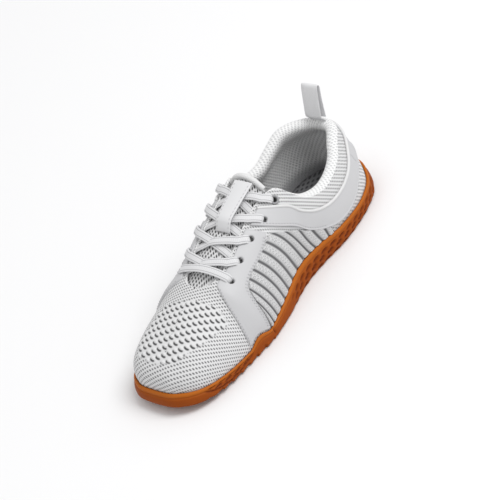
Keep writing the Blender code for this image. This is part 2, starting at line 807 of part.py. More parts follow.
def ribbon(name, path, normals, surface):
    """A flat lace along a path of points, with the face's direction at each."""
    path = np.array(path)
    along = unit(np.gradient(path, axis=0))
    normals = unit(np.array(normals) - along * (np.array(normals) * along).sum(axis=1)[:, None])
    side = np.cross(along, normals)
    low, high = [], []
    for rows, edge, middle in ((low, 0.15, 0.0), (high, 0.85, 1.0)):
        for share in (-0.5, 0.0, 0.5):
            level = middle if share == 0.0 else edge
            rows.append(path + side * LACE_WIDTH * share + normals * LACE_THICKNESS * level)
    low = np.array(low).transpose(1, 0, 2)
    high = np.array(high).transpose(1, 0, 2)
    return slab(name, low, high, surface)


def lace_run(name, above, below, side, lift, surface):
    """One run of the lace from its end on top beside one eyelet to the other throat edge."""
    s0, v0 = EYELETS[above - 1]
    s1 = EYELETS[below - 1][0]
    on_top = LACE_LIFT
    top = edge_rise(s0)
    path = []
    for rise in (v0 + 0.035, (v0 + top) / 2 + 0.02):
        path.append(lifted(side * s0, rise, on_top))
    shares = np.linspace(0.0, 0.80, 8)
    for t in shares:
        station = s0 + (s1 - s0) * t
        base = on_top * (1.0 - ease(t)) - GAP * ease(t)
        share = t if side > 0.0 else 1.0 - t
        hump = lift * math.exp(-(((t - 0.5) / 0.16) ** 2))
        point = crown(station, (share,), base, LACE_CROWN)[0]
        path.append(point + np.array([0.0, 0.0, hump]))
    path = np.array(path)
    along = np.gradient(path, axis=0)
    ahead = np.array([1.0, 0.0, -0.4])
    normals = np.cross(along, np.broadcast_to(ahead, along.shape))
    normals *= np.sign(normals[:, 2:3])
    return ribbon(name, path, normals, surface)


def join(target, other):
    """Makes the two one solid."""
    other.hide_render = True
    other.display_type = "WIRE"
    modifier = target.modifiers.new("join", "BOOLEAN")
    modifier.operation = "UNION"
    modifier.object = other


def build_laces(surface):
    for above, below in LACE_RUNS:
        name = "lace_crossing_%d" % above
        first = lace_run(name, above, below, 1.0, LACE_THICKNESS * 0.75, surface)
        second = lace_run(name + "_under", above, below, -1.0, 0.0, surface)
        join(first, second)
    station, rise = EYELETS[-1]
    lift = LACE_LIFT + GAP
    path = [lifted(station, rise + 0.035, lift)]
    path += list(crown(station, np.linspace(0.0, 1.0, 9), lift, TONGUE_CROWN))
    path += [lifted(-station, rise + 0.035, lift)]
    along = np.gradient(np.array(path), axis=0)
    normals = np.cross(along, np.broadcast_to(np.array([1.0, 0.0, -0.2]), along.shape))
    normals *= np.sign(normals[:, 2:3])
    ribbon("lace_bar", path, normals, surface)


def frame_at(station, rise):
    """Point on the upper with two directions in its face and the one out of it."""
    at = lifted(station, rise, 0.0)
    out = unit(lifted(station, rise, MM) - at)
    one = unit(lifted(station + 0.003, rise, 0.0) - at)
    return at, one, np.cross(out, one), out


def tube(centre, one, two, out, inner, outer, low, high, name, surface):
    """A ring, or a plain pin when inner is zero, that stands out of the face."""
    sides = 10
    radii = [(outer, low), (outer, high)]
    if inner > 0.0:
        radii += [(inner, high), (inner, low)]
    verts, faces = [], []
    for radius, level in radii:
        for k in range(sides):
            turn = 2.0 * math.pi * k / sides
            verts.append(centre + (one * math.cos(turn) + two * math.sin(turn)) * radius + out * level)
    rings = len(radii)
    for r in range(rings if inner > 0.0 else rings - 1):
        for k in range(sides):
            j = (k + 1) % sides
            n = (r + 1) % rings
            faces.append((r * sides + k, r * sides + j, n * sides + j, n * sides + k))
    if inner == 0.0:
        faces.append(tuple(range(sides)))
        faces.append(tuple(range(2 * sides - 1, sides - 1, -1)))
    return solid(name, verts, faces, surface)


def build_eyelets(targets, surface):
    """Bores through the upper and the overlays, and a ring round the top one of each side."""
    for label, side in (("lateral", 1.0), ("medial", -1.0)):
        for number, (station, rise) in enumerate(EYELETS):
            spot = frame_at(side * station, rise)
            reach = WALL * 2
            pin = tube(*spot, 0.0, EYELET_BORE / 2, -reach, reach, "bore_%s_%d" % (label, number + 1),
                       surface)
            cut(targets["upper"], pin)
            if number == 1:
                cut(targets["heel_strap"], pin)
            if number > 1:
                cut(targets["saddle_" + label], pin)
        spot = frame_at(side * EYELETS[0][0], EYELETS[0][1])
        tube(*spot, EYELET_BORE / 2, EYELET_RING / 2, GAP, GAP + EYELET_RING_THICKNESS,
             "eyelet_ring_" + label, surface)


def build_pull_loop(surface):
    start = top_line(np.zeros(1))[0]
    line = spread(PULL_LOOP, 18)
    path = np.array([[start[0] + x * PULL_HEIGHT, start[2] + z * PULL_HEIGHT] for x, z in line])
    along = unit(np.gradient(path, axis=0))
    out = np.stack([along[:, 1], -along[:, 0]], axis=-1)
    low, high = [], []
    for rows, level in ((low, -0.5), (high, 0.5)):
        for y in (-0.5, 0.5):
            spot = path + out * PULL_THICKNESS * level
            rows.append(np.stack([spot[:, 0], np.full(len(path), y * PULL_WIDTH), spot[:, 1]], axis=-1))
    low = np.array(low).transpose(1, 0, 2)
    high = np.array(high).transpose(1, 0, 2)
    return slab("pull_loop", low, high, surface)


def settle(pieces):
    """Moves every piece so that the origin is under the middle of the whole box, on the floor."""
    graph = bpy.context.evaluated_depsgraph_get()
    finished = [piece.evaluated_get(graph).to_mesh() for piece in pieces]
    points = np.array([vertex.co[:] for mesh in finished for vertex in mesh.vertices])
    low, high = points.min(axis=0), points.max(axis=0)
    middle = (low + high) / 2.0
    for item in bpy.data.objects:
        for vertex in item.data.vertices:
            vertex.co.x -= middle[0]
            vertex.co.y -= middle[1]
            vertex.co.z -= low[2]


def build():
    remove_everything()
    rubber = material("gum_rubber", (0.52, 0.20, 0.05), 0.55)
    knit = material("knit", (0.80, 0.80, 0.80), 0.9)
    film = material("smooth_film", (0.72, 0.72, 0.73), 0.5)
    cord = material("lace", (0.78, 0.78, 0.78), 0.9)
    dark = material("insole_cloth", (0.18, 0.18, 0.19), 0.9)
    outsole = build_outsole(rubber)
    cut(outsole, build_tread_cutter(rubber))
    build_insole(dark)
    targets = {"upper": build_upper(knit), "heel_strap": build_strap(film)}
    build_tongue(knit)
    build_tongue_strip(film)
    for label, side in (("lateral", 1.0), ("medial", -1.0)):
        targets["saddle_" + label] = build_saddle("saddle_" + label, side, film)
        build_ribs("rib_panel_" + label, side, knit)
    build_eyelets(targets, film)
    build_laces(cord)
    build_pull_loop(cord)
    settle([item for item in bpy.data.objects if not item.hide_render])


build()
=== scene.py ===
"""Looks of the left barefoot training shoe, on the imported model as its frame.

The shoe is worked out in a design frame in metres: x runs from the back of the heel (0) to the
toe, y to the wearer's left, which is the outer side, and z up from the floor. SHIFT then takes
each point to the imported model's frame. Every surface comes from place(s, v): s goes once round
the shoe, 0 at the back of the heel and +1 or -1 at the toe tip, plus on the outer side, and v
rises from the lip of the sole (0) to the top line (1).
"""

import json
import math

import bmesh
import bpy
import numpy as np
from mathutils import Matrix, Vector

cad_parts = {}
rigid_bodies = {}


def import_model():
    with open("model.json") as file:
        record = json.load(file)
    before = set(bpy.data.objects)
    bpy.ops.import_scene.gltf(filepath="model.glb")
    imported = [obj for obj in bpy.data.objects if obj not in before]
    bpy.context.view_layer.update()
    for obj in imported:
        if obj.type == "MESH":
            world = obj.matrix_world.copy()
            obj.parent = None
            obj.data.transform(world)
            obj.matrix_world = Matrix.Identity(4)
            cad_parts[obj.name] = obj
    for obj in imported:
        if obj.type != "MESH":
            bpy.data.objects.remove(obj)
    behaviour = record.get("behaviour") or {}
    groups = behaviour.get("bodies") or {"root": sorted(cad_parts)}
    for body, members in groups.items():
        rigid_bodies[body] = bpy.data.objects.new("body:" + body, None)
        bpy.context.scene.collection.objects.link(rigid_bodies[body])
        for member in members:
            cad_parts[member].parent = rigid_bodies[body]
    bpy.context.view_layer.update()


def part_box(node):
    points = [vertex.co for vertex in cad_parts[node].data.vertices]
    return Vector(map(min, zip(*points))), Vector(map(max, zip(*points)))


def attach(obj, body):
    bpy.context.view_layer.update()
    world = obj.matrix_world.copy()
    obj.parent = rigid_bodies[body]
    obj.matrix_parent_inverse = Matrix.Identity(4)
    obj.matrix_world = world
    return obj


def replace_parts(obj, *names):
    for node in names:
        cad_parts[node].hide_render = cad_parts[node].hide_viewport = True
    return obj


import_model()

MM = 0.001

# Driving dimensions
LENGTH = 284.0 * MM
BALL_WIDTH = 96.0 * MM
HEEL_HEIGHT = 68.0 * MM
LIP_HEIGHT = 15.0 * MM
TOE_SPRING = 7.0 * MM
HEEL_SPRING = 2.5 * MM
FLOOR_THICKNESS = 6.0 * MM
LIP_THICKNESS = 2.0 * MM
CUP_DRAFT = 0.8 * MM
WALL = 2.2 * MM
COLLAR_PADDING = 7.5 * MM
INSOLE_THICKNESS = 3.0 * MM
GAP = 0.35 * MM
BALL_TAB_RISE = 5.0 * MM
GROOVE_WIDTH = 2.4 * MM
GROOVE_DEPTH = 1.8 * MM
GROOVE_PITCH = 10.0 * MM
OVERLAY_THICKNESS = 1.0 * MM
RIB_THICKNESS = 2.0 * MM
RIB_BASE = 0.6 * MM
EYELET_BORE = 4.2 * MM
EYELET_RING = 8.0 * MM
TONGUE_THICKNESS = 3.2 * MM
TONGUE_TOP = 8.0 * MM
TONGUE_CROWN = 0.40
LACE_CROWN = 0.34
STRIP_RISE = 6.4 * MM
OVERLAY_FOOT = 0.03
TONGUE_STRIP_THICKNESS = 1.0 * MM
TONGUE_STRIP_WIDTH = 15.0 * MM
LACE_WIDTH = 6.5 * MM
PULL_WIDTH = 16.0 * MM
PULL_HEIGHT = 30.0 * MM
PULL_THICKNESS = 1.4 * MM


# Outline of the outsole: station, then shares of LENGTH, of BALL_WIDTH to each side, of
# LIP_HEIGHT, and the tuck of the lip behind the widest line as a share of LIP_HEIGHT
OUTLINE = (
    # station, along, lateral, medial, lip, tuck
    (0.000, 0.000, 0.000, 0.000, 1.37, 0.20),
    (0.045, 0.009, 0.146, 0.156, 1.33, 0.17),
    (0.091, 0.028, 0.250, 0.266, 1.20, 0.10),
    (0.136, 0.070, 0.349, 0.354, 1.00, 0.05),
    (0.182, 0.127, 0.401, 0.396, 0.87, 0.02),
    (0.273, 0.254, 0.432, 0.391, 0.97, 0.04),
    (0.364, 0.359, 0.391, 0.370, 1.17, 0.08),
    (0.455, 0.451, 0.380, 0.385, 1.17, 0.11),
    (0.545, 0.577, 0.438, 0.469, 0.83, 0.10),
    (0.614, 0.669, 0.456, 0.531, 0.65, 0.01),
    (0.682, 0.746, 0.423, 0.552, 0.61, 0.00),
    (0.773, 0.845, 0.389, 0.542, 0.64, 0.03),
    (0.864, 0.930, 0.328, 0.464, 0.71, 0.13),
    (0.909, 0.961, 0.271, 0.385, 0.73, 0.19),
    (0.955, 0.986, 0.177, 0.255, 0.75, 0.23),
    (1.000, 1.000, 0.031, -0.031, 0.76, 0.24),
)

# Top line: collar, throat edge, then the ridge of the vamp. Station, then shares of LENGTH,
# of BALL_WIDTH to each side, and of HEEL_HEIGHT
TOP_LINE = (
    # station, along, lateral, medial, height lateral, height medial
    (0.000, 0.028, 0.000, 0.000, 0.993, 0.993),
    (0.045, 0.033, 0.094, 0.094, 0.993, 0.993),
    (0.091, 0.051, 0.172, 0.172, 0.971, 1.007),
    (0.136, 0.088, 0.229, 0.234, 0.919, 1.059),
    (0.182, 0.134, 0.297, 0.281, 0.838, 1.074),
    (0.227, 0.190, 0.339, 0.302, 0.787, 1.007),
    (0.273, 0.246, 0.349, 0.312, 0.787, 0.949),
    (0.318, 0.303, 0.333, 0.312, 0.882, 1.015),
    (0.364, 0.342, 0.286, 0.297, 1.037, 1.132),
    (0.409, 0.366, 0.198, 0.250, 1.169, 1.213),
    (0.455, 0.430, 0.141, 0.208, 1.162, 1.191),
    (0.500, 0.507, 0.141, 0.203, 1.103, 1.125),
    (0.545, 0.574, 0.146, 0.203, 1.015, 1.037),
    (0.591, 0.641, 0.141, 0.193, 0.934, 0.941),
    (0.636, 0.694, 0.094, 0.141, 0.893, 0.893),
    (0.682, 0.717, -0.031, 0.031, 0.875, 0.875),
    (0.727, 0.750, -0.031, 0.031, 0.838, 0.838),
    (0.773, 0.785, -0.036, 0.036, 0.794, 0.794),
    (0.818, 0.817, -0.042, 0.042, 0.750, 0.750),
    (0.864, 0.845, -0.042, 0.042, 0.706, 0.706),
    (0.909, 0.870, -0.042, 0.042, 0.662, 0.662),
    (0.955, 0.889, -0.042, 0.042, 0.625, 0.625),
    (1.000, 0.901, -0.042, 0.042, 0.603, 0.603),
)
THROAT_END = 0.682
THROAT_SIDE = 0.575
COLLAR_FRONT = 0.375
COLLAR_FADE = 0.05
PADDING_FOOT = 0.55
BALL_TAB = 0.648
BALL_TAB_REACH = 0.042

# Eyelets of one side from the collar to the toe; the other side mirrors them
EYELETS = (
    # station, rise
    (0.428, 0.861),
    (0.472, 0.805),
    (0.516, 0.849),
    (0.561, 0.861),
    (0.606, 0.822),
)

# The heel strap from the middle of the heel to the throat: its low edge and its high edge
STRAP = (
    # low station, low rise, high station, high rise
    (0.000, 0.400, 0.000, 0.900),
    (0.060, 0.395, 0.045, 0.830),
    (0.120, 0.390, 0.090, 0.720),
    (0.165, 0.370, 0.115, 0.620),
    (0.200, 0.230, 0.150, 0.580),
    (0.222, 0.030, 0.190, 0.590),
    (0.250, 0.030, 0.225, 0.540),
    (0.285, 0.030, 0.250, 0.520),
    (0.318, 0.210, 0.290, 0.570),
    (0.360, 0.300, 0.330, 0.615),
    (0.410, 0.365, 0.375, 0.630),
    (0.457, 0.520, 0.415, 0.650),
    (0.477, 0.650, 0.438, 0.750),
    (0.489, 0.790, 0.450, 0.860),
    (0.496, 0.930, 0.463, 0.950),
)

# The saddle from the strap along the throat and down to the sole: rear and front edges
SADDLE = (
    # rear station, rear rise, front station, front rise
    (0.494, 0.720, 0.504, 0.955),
    (0.516, 0.672, 0.535, 0.955),
    (0.545, 0.665, 0.570, 0.955),
    (0.573, 0.675, 0.600, 0.950),
    (0.592, 0.650, 0.628, 0.920),
    (0.604, 0.580, 0.645, 0.800),
    (0.611, 0.400, 0.667, 0.560),
    (0.612, 0.180, 0.680, 0.280),
    (0.613, 0.030, 0.684, 0.030),
)

# Tongue: stations along the throat, the rise where its wing ends and the room it leaves under
# the upper in gaps, then its free end above the collar
TONGUE_STATIONS = (
    # station, rise of the wing's edge, room
    (0.770, 0.80, 3.0),
    (0.725, 0.79, 3.0),
    (0.684, 0.78, 3.0),
    (0.650, 0.78, 2.5),
    (0.610, 0.78, 2.5),
    (0.560, 0.78, 2.5),
    (0.510, 0.80, 2.5),
    (0.465, 0.84, 2.5),
    (0.430, 0.94, 3.5),
)
TONGUE_END = (
    # share of TONGUE_TOP up, narrowing, droop of the corners
    (0.4, 0.92, 0.05),
    (0.8, 0.86, 0.20),
    (1.0, 0.80, 0.38),
)
TONGUE_LEAN = (-0.40, 0.0, 0.92)

# The smooth strip down the middle of the tongue, over the upper crossings of the lace
TONGUE_STRIP = (
    # station, share of TONGUE_STRIP_WIDTH, share of STRIP_RISE over the tongue
    (0.430, 1.35, 0.95),
    (0.442, 1.20, 1.00),
    (0.460, 1.05, 1.00),
    (0.480, 0.95, 1.00),
    (0.500, 0.80, 1.00),
    (0.512, 0.75, 0.50),
    (0.520, 0.75, 0.00),
)

# Crossings of the lace: the eyelet where each run ends on top, counted from the collar, and
# the eyelet across the throat where it comes from under the edge
LACE_RUNS = (
    # eyelet above, eyelet below
    (1, 2),
    (2, 3),
    (3, 4),
    (4, 5),
)

# The pull loop seen from the side, from its front foot in the collar over the top to its rear foot
PULL_LOOP = (
    # forward of the collar's top, above it, as shares of PULL_HEIGHT
    (0.120, -0.080),
    (0.185, 0.020),
    (0.235, 0.120),
    (0.270, 0.220),
    (0.110, 0.680),
    (0.015, 0.930),
    (-0.035, 1.015),
    (-0.080, 1.020),
    (-0.110, 0.960),
    (-0.090, 0.850),
    (0.000, 0.550),
    (0.110, 0.080),
)

# The grooves between the knitted ribs, where painted shade darkens them, from the heel to the ball
RIB_GROOVES = (
    # station at the sole, station at the top, rise at the top
    (0.300, 0.302, 0.100),
    (0.320, 0.324, 0.185),
    (0.342, 0.362, 0.275),
    (0.370, 0.408, 0.340),
    (0.396, 0.452, 0.470),
    (0.425, 0.482, 0.620),
    (0.458, 0.503, 0.640),
    (0.484, 0.522, 0.645),
    (0.508, 0.542, 0.645),
    (0.530, 0.561, 0.645),
    (0.552, 0.580, 0.635),
    (0.573, 0.596, 0.560),
    (0.592, 0.604, 0.390),
    (0.605, 0.606, 0.150),
)

# Runs of tread grooves across the sole
TREAD = (
    # first and last place along LENGTH, turn in radians
    (0.055, 0.20, 0.10),
    (0.60, 0.945, -0.14),
)

# How each rise leaves the lip and meets the top line: outward lean at the lip, slope of the
# surface at the top line in degrees, and the two handles as shares of the chord
RISE = (
    # station, lean, slope, low handle, high handle
    (0.000, 0.02, 80.0, 0.35, 0.30),
    (0.182, 0.06, 80.0, 0.35, 0.30),
    (0.273, 0.10, 80.0, 0.35, 0.30),
    (0.364, 0.12, 58.0, 0.36, 0.30),
    (0.455, 0.12, 33.0, 0.40, 0.36),
    (0.614, 0.10, 26.0, 0.38, 0.38),
    (0.773, 0.08, 18.0, 0.38, 0.40),
    (0.909, 0.06, 10.0, 0.42, 0.44),
    (1.000, 0.06, 6.0, 0.44, 0.45),
)

# Side of the outsole from the floor up: how far out, and the share of the lip's height
SOLE_SIDE = (
    # outward, share of height
    (-2.6, 0.00),
    (-0.7, 0.08),
    (0.0, 0.25),
    (-0.2, 0.62),
    (-0.9, 0.72),
    (-0.3, 0.82),
    (-0.2, 0.94),
    (-0.8, 1.00),
)


def smooth_between(t, a, b, slope_a, slope_b):
    """Smooth value at a share t of the way from a to b, which it leaves and meets at slopes."""
    return ((2 * t**3 - 3 * t**2 + 1) * a + (t**3 - 2 * t**2 + t) * slope_a
            + (3 * t**2 - 2 * t**3) * b + (t**3 - t**2) * slope_b)


def through(knots, values, s):
    """Smooth closed curve of period 2 through the values at the knots."""
    knots = np.asarray(knots, float)
    values = np.asarray(values, float)
    count = len(knots)
    wide = np.concatenate([knots - 2.0, knots, knots + 2.0])
    tall = np.concatenate([values, values, values])
    step = np.diff(wide)
    rise = np.diff(tall) / step
    slope = np.zeros(len(wide))
    slope[1:-1] = (step[:-1] * rise[1:] + step[1:] * rise[:-1]) / (step[:-1] + step[1:])
    s = np.asarray(s, float)
    k = np.clip(np.searchsorted(wide, s, side="right") - 1, count - 2, 2 * count + 1)
    h = step[k]
    return smooth_between((s - wide[k]) / h, tall[k], tall[k + 1], h * slope[k], h * slope[k + 1])


def both_sides(rows, lateral, medial, s, sign=1.0):
    """A column of a table round the shoe; the medial column counts sign times."""
    stations = [row[0] for row in rows]
    knots = [-a for a in reversed(stations[1:-1])] + stations
    values = [sign * row[medial] for row in reversed(rows[1:-1])] + [row[lateral] for row in rows]
    return through(knots, values, s)


def outline(s):
    x = LENGTH * both_sides(OUTLINE, 1, 1, s)
    y = BALL_WIDTH * both_sides(OUTLINE, 2, 3, s, -1.0)
    return x, y


def outward(s):
    """Unit direction in plan that leaves the outline at s."""
    step = 0.004
    x0, y0 = outline(s - step)
    x1, y1 = outline(s + step)
    run = np.hypot(x1 - x0, y1 - y0)
    return -(y1 - y0) / run, (x1 - x0) / run


def ground(x):
    """Height of the underside: flat, with a little spring at the toe and the heel."""
    toe = np.clip((x / LENGTH - 0.70) / 0.30, 0.0, 1.0)
    heel = np.clip(1.0 - x / LENGTH / 0.10, 0.0, 1.0)
    return TOE_SPRING * toe**2 + HEEL_SPRING * heel**2


def lip_height(s):
    """Height of the sole's lip, with the tab that rises over the saddle at the ball."""
    away = np.clip(np.abs(np.abs(s) - BALL_TAB) / BALL_TAB_REACH, 0.0, 1.0)
    tab = BALL_TAB_RISE * (1.0 - away**2) ** 2
    return LIP_HEIGHT * both_sides(OUTLINE, 4, 4, s) + tab


def lip_tuck(s):
    return LIP_HEIGHT * both_sides(OUTLINE, 5, 5, s)


def beside(s, out, height):
    """Point at a height over the underside, out from the outline (negative is inwards)."""
    x, y = outline(s)
    nx, ny = outward(s)
    px, py = x + out * nx, y + out * ny
    return np.stack([px, py, ground(x) + height], axis=-1)


def feather(s):
    """Where the upper's outer face leaves the lip."""
    return beside(s, -(lip_tuck(s) + LIP_THICKNESS + GAP), lip_height(s))


def top_line(s):
    x = LENGTH * both_sides(TOP_LINE, 1, 1, s)
    y = BALL_WIDTH * both_sides(TOP_LINE, 2, 3, s, -1.0)
    z = HEEL_HEIGHT * both_sides(TOP_LINE, 4, 5, s)
    a = np.abs(s)
    ridge = np.clip((a - THROAT_END) / (1.0 - THROAT_END), 0.0, 1.0)
    middle = np.interp(a, [row[0] for row in TOP_LINE], [BALL_WIDTH * row[2] for row in TOP_LINE])
    return np.stack([x, np.where(ridge > 0.0, middle, y), z], axis=-1)


def ease(share):
    """Smooth step from 0 to 1."""
    share = np.clip(share, 0.0, 1.0)
    return share * share * (3.0 - 2.0 * share)


def unit(vectors):
    return vectors / np.linalg.norm(vectors, axis=-1, keepdims=True)


def handles(s):
    """The four control points of the rise at s."""
    low = feather(s)
    high = top_line(s)
    nx, ny = outward(s)
    lean = both_sides(RISE, 1, 1, s)
    slope = np.radians(both_sides(RISE, 2, 2, s))
    near = both_sides(RISE, 3, 3, s)
    far = both_sides(RISE, 4, 4, s)
    chord = np.linalg.norm(high - low, axis=-1)
    leave = unit(np.stack([lean * nx, lean * ny, np.ones_like(lean)], axis=-1))
    inward = unit(np.stack([-nx, -ny, np.zeros_like(nx)], axis=-1))
    up = np.array([0.0, 0.0, 1.0])
    arrive = np.cos(slope)[..., None] * inward + np.sin(slope)[..., None] * up
    across = unit((high - low) * np.array([1.0, 1.0, 0.0]))
    step = 0.01
    a = np.clip(np.abs(s), THROAT_END + step, 1.0 - step)
    ahead = top_line(a + step) - top_line(a - step)
    grade = ahead[..., 2] / ahead[..., 0]
    along_ridge = unit(np.stack([across[..., 0], across[..., 1], across[..., 0] * grade], axis=-1))
    share = ease((np.abs(s) - THROAT_SIDE) / (THROAT_END - THROAT_SIDE))[..., None]
    arrive = unit(arrive * (1.0 - share) + along_ridge * share)
    return low, low + leave * (near * chord)[..., None], high - arrive * (far * chord)[..., None], high


def place(s, v):
    """Point on the outer face of the upper."""
    s, v = np.broadcast_arrays(np.asarray(s, float), np.asarray(v, float))
    p0, p1, p2, p3 = handles(s)
    t = v[..., None]
    return ((1 - t) ** 3 * p0 + 3 * t * (1 - t) ** 2 * p1 + 3 * t**2 * (1 - t) * p2 + t**3 * p3)


def lifted(s, v, lift):
    """Point at a distance out from the upper's outer face."""
    s, v = np.broadcast_arrays(np.asarray(s, float), np.asarray(v, float))
    e = 0.003
    along = place(s + e, v) - place(s - e, v)
    rise = place(s, v + e) - place(s, v - e)
    normal = unit(np.cross(rise, along))
    return place(s, v) + normal * np.asarray(lift, float)[..., None]


def thickness_of(s, level):
    """Wall of the upper; the collar is padded at its edge, fading down and forward."""
    front = ease((COLLAR_FRONT - np.abs(s)) / COLLAR_FADE)
    low = ease((level - PADDING_FOOT) / (1.0 - PADDING_FOOT))
    return WALL + COLLAR_PADDING * front * low


def rise_top(s):
    """Rise at which the rounded edge of the collar and the throat begins."""
    low, _, _, high = handles(s)
    chord = np.linalg.norm(high - low, axis=-1)
    open_edge = np.abs(s) < THROAT_END
    return np.where(open_edge, 1.0 - thickness_of(s, 1.0) / 2.0 / chord, 1.0)


def at_steps(data, steps):
    """Smooth values of evenly spaced rows at numbers that lie between them."""
    slope = np.gradient(data, axis=0)
    low = np.minimum(steps.astype(int), len(data) - 2)
    t = (steps - low).reshape((-1,) + (1,) * (data.ndim - 1))
    return smooth_between(t, data[low], data[low + 1], slope[low], slope[low + 1])


def resample(rows, per_row):
    """Smooth values between the rows of a table, per_row steps from each row to the next."""
    steps = np.linspace(0.0, len(rows) - 1.0, (len(rows) - 1) * per_row + 1)
    return at_steps(np.array(rows, float), steps)


def spread(rows, steps, per_row=None):
    """Smooth values through a table's rows, steps of them from the first row to the last."""
    fine = resample(rows, per_row or steps)
    share = np.linspace(0.0, len(fine) - 1.0, steps)
    return np.array([np.interp(share, range(len(fine)), column) for column in fine.T]).T


def window(x, low, high, rise, fall):
    """1 between low and high and 0 outside, easing in over rise and out over fall."""
    return ease((x - low) / rise) * ease((high - x) / fall)


def run_of(points, axis=0):
    """Distance along a path, or along the rows or columns of a grid of points, from 0."""
    steps = np.cumsum(np.linalg.norm(np.diff(points, axis=axis), axis=-1), axis=axis)
    return np.concatenate([np.zeros_like(steps.take([0], axis=axis)), steps], axis=axis)


def edge_rise(station):
    """Rise of the last point that still lies on the flat of the upper beside the throat."""
    near = np.full(1, min(station, THROAT_END - 0.001))
    back = 0.03 * ease((station - THROAT_SIDE) / (THROAT_END - THROAT_SIDE))
    return float(rise_top(near)[0]) - float(back)


def crown(station, shares, lift, bulge):
    """Points over the throat at a station, from its lateral edge to its medial edge."""
    top = edge_rise(station)
    step = 0.01
    ends = []
    for side in (1.0, -1.0):
        at = lifted(side * station, top, lift)
        ends.append((at, at - lifted(side * station, top - step, lift)))
    (a, leave_a), (b, leave_b) = ends
    reach = np.linalg.norm(a - b) * bulge
    leave_a, leave_b = unit(leave_a) * reach, unit(leave_b) * reach
    points = []
    for t in shares:
        points.append((1 - t) ** 3 * a + 3 * t * (1 - t) ** 2 * (a + leave_a)
                      + 3 * t**2 * (1 - t) * (b + leave_b) + t**3 * b)
    return np.array(points)


def tongue_rows(depth):
    """The tongue's face at a depth under the upper's wall, one row for each station."""
    rows = []
    for station, wing, room in TONGUE_STATIONS:
        lift = -(WALL + room * GAP + depth)
        rises = np.linspace(wing, edge_rise(station), 4)
        left = lifted(station, rises, np.full(4, lift))
        right = lifted(-station, rises, np.full(4, lift))
        middle = crown(station, np.linspace(0.0, 1.0, 7)[1:-1], lift, TONGUE_CROWN)
        rows.append(np.concatenate([left, middle, right[::-1]]))
    base = rows[-1]
    middle = base.mean(axis=0)
    half = np.abs(base[:, 1] - middle[1]).max()
    for step, narrow, droop in TONGUE_END:
        row = middle + (base - middle) * np.array([1.0, narrow, 1.0])
        row = row + np.array(TONGUE_LEAN) * TONGUE_TOP * step
        row[:, 2] -= droop * TONGUE_TOP * ((row[:, 1] - middle[1]) / half) ** 2
        rows.append(row)
    return np.array(rows)


def over_tongue(station, across, height):
    """Point over the middle of the tongue, at a distance across and a height over its face."""
    base = -(WALL + GAP)
    shares = np.array([0.42, 0.5, 0.58])
    a, middle, b = crown(station, shares, base, TONGUE_CROWN)
    ahead = crown(station + 0.01, shares, base, TONGUE_CROWN)[1]
    side = unit(a - b)
    normal = unit(np.cross(ahead - middle, side))
    return middle + side * across + normal * height


# The camera of the photograph, in the design frame
CAMERA_AIM = (133.8 * MM, -2.44 * MM, 36.8 * MM)
CAMERA_AZIMUTH = math.radians(48.63)
CAMERA_ELEVATION = math.radians(36.364)
CAMERA_ROLL = math.radians(24.96)
CAMERA_DISTANCE = 7913.3 * MM
SENSOR_WIDTH = 36.0
CAMERA_LENS = 20.168 * SENSOR_WIDTH
CAMERA_CLIP = 50.0

# Steps of the fine meshes
FINE_STEPS = 300
FINE_RISE = 90
LINING_RISE = 26
FOOT_RISE = 6
ROLL_STEPS = 8
SOLE_ACROSS = 40
FLAT_ROWS = 16
FLAT_COLUMNS = 128
RIB_COLUMNS = 14
RIB_RISE = 110
INSOLE_STEPS = 90
INSOLE_ACROSS = 25

# Points nearer than this are joined, and a station just beside the very tip of the toe
WELD = 0.01 * MM
SHELL_WELD = 0.12 * MM
TOE_STATION = 0.9995

# Columns of the flat pattern on the ridge of the vamp: throat, middle and toe
RIDGE_COLUMNS = (46, 50, 58)
RIDGE_BESIDE_ROW = 4

# Relief of the upper
EYELET_PIT = 1.9 * MM
PIT_MARGIN = 0.8 * MM
BUMP_RISE = 1.3 * MM
BUMP_ZONE_FADE = 3.0 * MM
# Heights over the floor between which painted shade darkens the lining inside the shoe, full at the
# lower one
LINING_SHADE_TOP = 24.0 * MM
LINING_SHADE_FOOT = 12.0 * MM

# Relief of the outsole in stations, shares of the lip's height and lengths: slanted dimples, the
# arched panel under the toes' outer corner, the crease behind the ball's tab and the lugs
DIMPLE_STEP = (10.5 * MM, 0.24)
DIMPLE_HALF = (0.40, 0.46)
DIMPLE_SLANT = 0.45
DIMPLE_FOOT = 0.12
DIMPLE_BAND = (0.02, 0.70)
DIMPLE_END = 0.53
DIMPLE_DEPTH = 1.3 * MM
PANEL = (0.68, 0.88)
PANEL_TOP = 0.86
ARCH_FOOT = 0.72
ARCH_RISE = 0.42
ARCH_WIDTH = 0.06
SHALLOW = 0.8
CREASE_STATION = 0.603
CREASE_WIDTH = 0.005
LUG_PITCH = 10.5 * MM
LUG_REACH = 1.0 * MM
LUG_SPAN = (0.60, 0.86)
LUG_TOP = 0.34
SOLE_CREASE_ANGLE = math.radians(50.0)

# Overlays, ribs, tongue strip and seams
RIM_RISE = 0.7 * MM
RIM_WIDTH = 0.09
PIPING_RADIUS = 1.25 * MM
PIPING_LIFT = 1.1 * MM
SEAM_RADIUS = 0.25 * MM
LINING_SEAM_RADIUS = 0.45 * MM
STRAP_SOFTENING = 500
STRAP_STITCH_START = 0.31
SADDLE_MARGIN = (0.006, 0.012)
SADDLE_SEAMS = (("rear", 0.055), ("rear_inner", 0.11), ("front", 0.945))
SADDLE_FRONT_START = 60
RIB_TUCK = 0.028
RIB_DOT_STEP = 3.2 * MM
RIB_DOT_RISE = 0.4 * MM
RIB_DOT_LINES = (
    # share of the way across the rib, shift in steps
    (0.36, 0.0),
    (0.66, 0.5),
)
STRIP_SHIFT = 3.6 * MM
STRIP_AHEAD = 0.002
STRIP_TAPER = (0.35, 0.62)
BINDING_SHARE = 0.78
SEAM_STATION = 0.137
HEEL_SEAM_RISES = (0.93, 0.8, 0.6, 0.4)
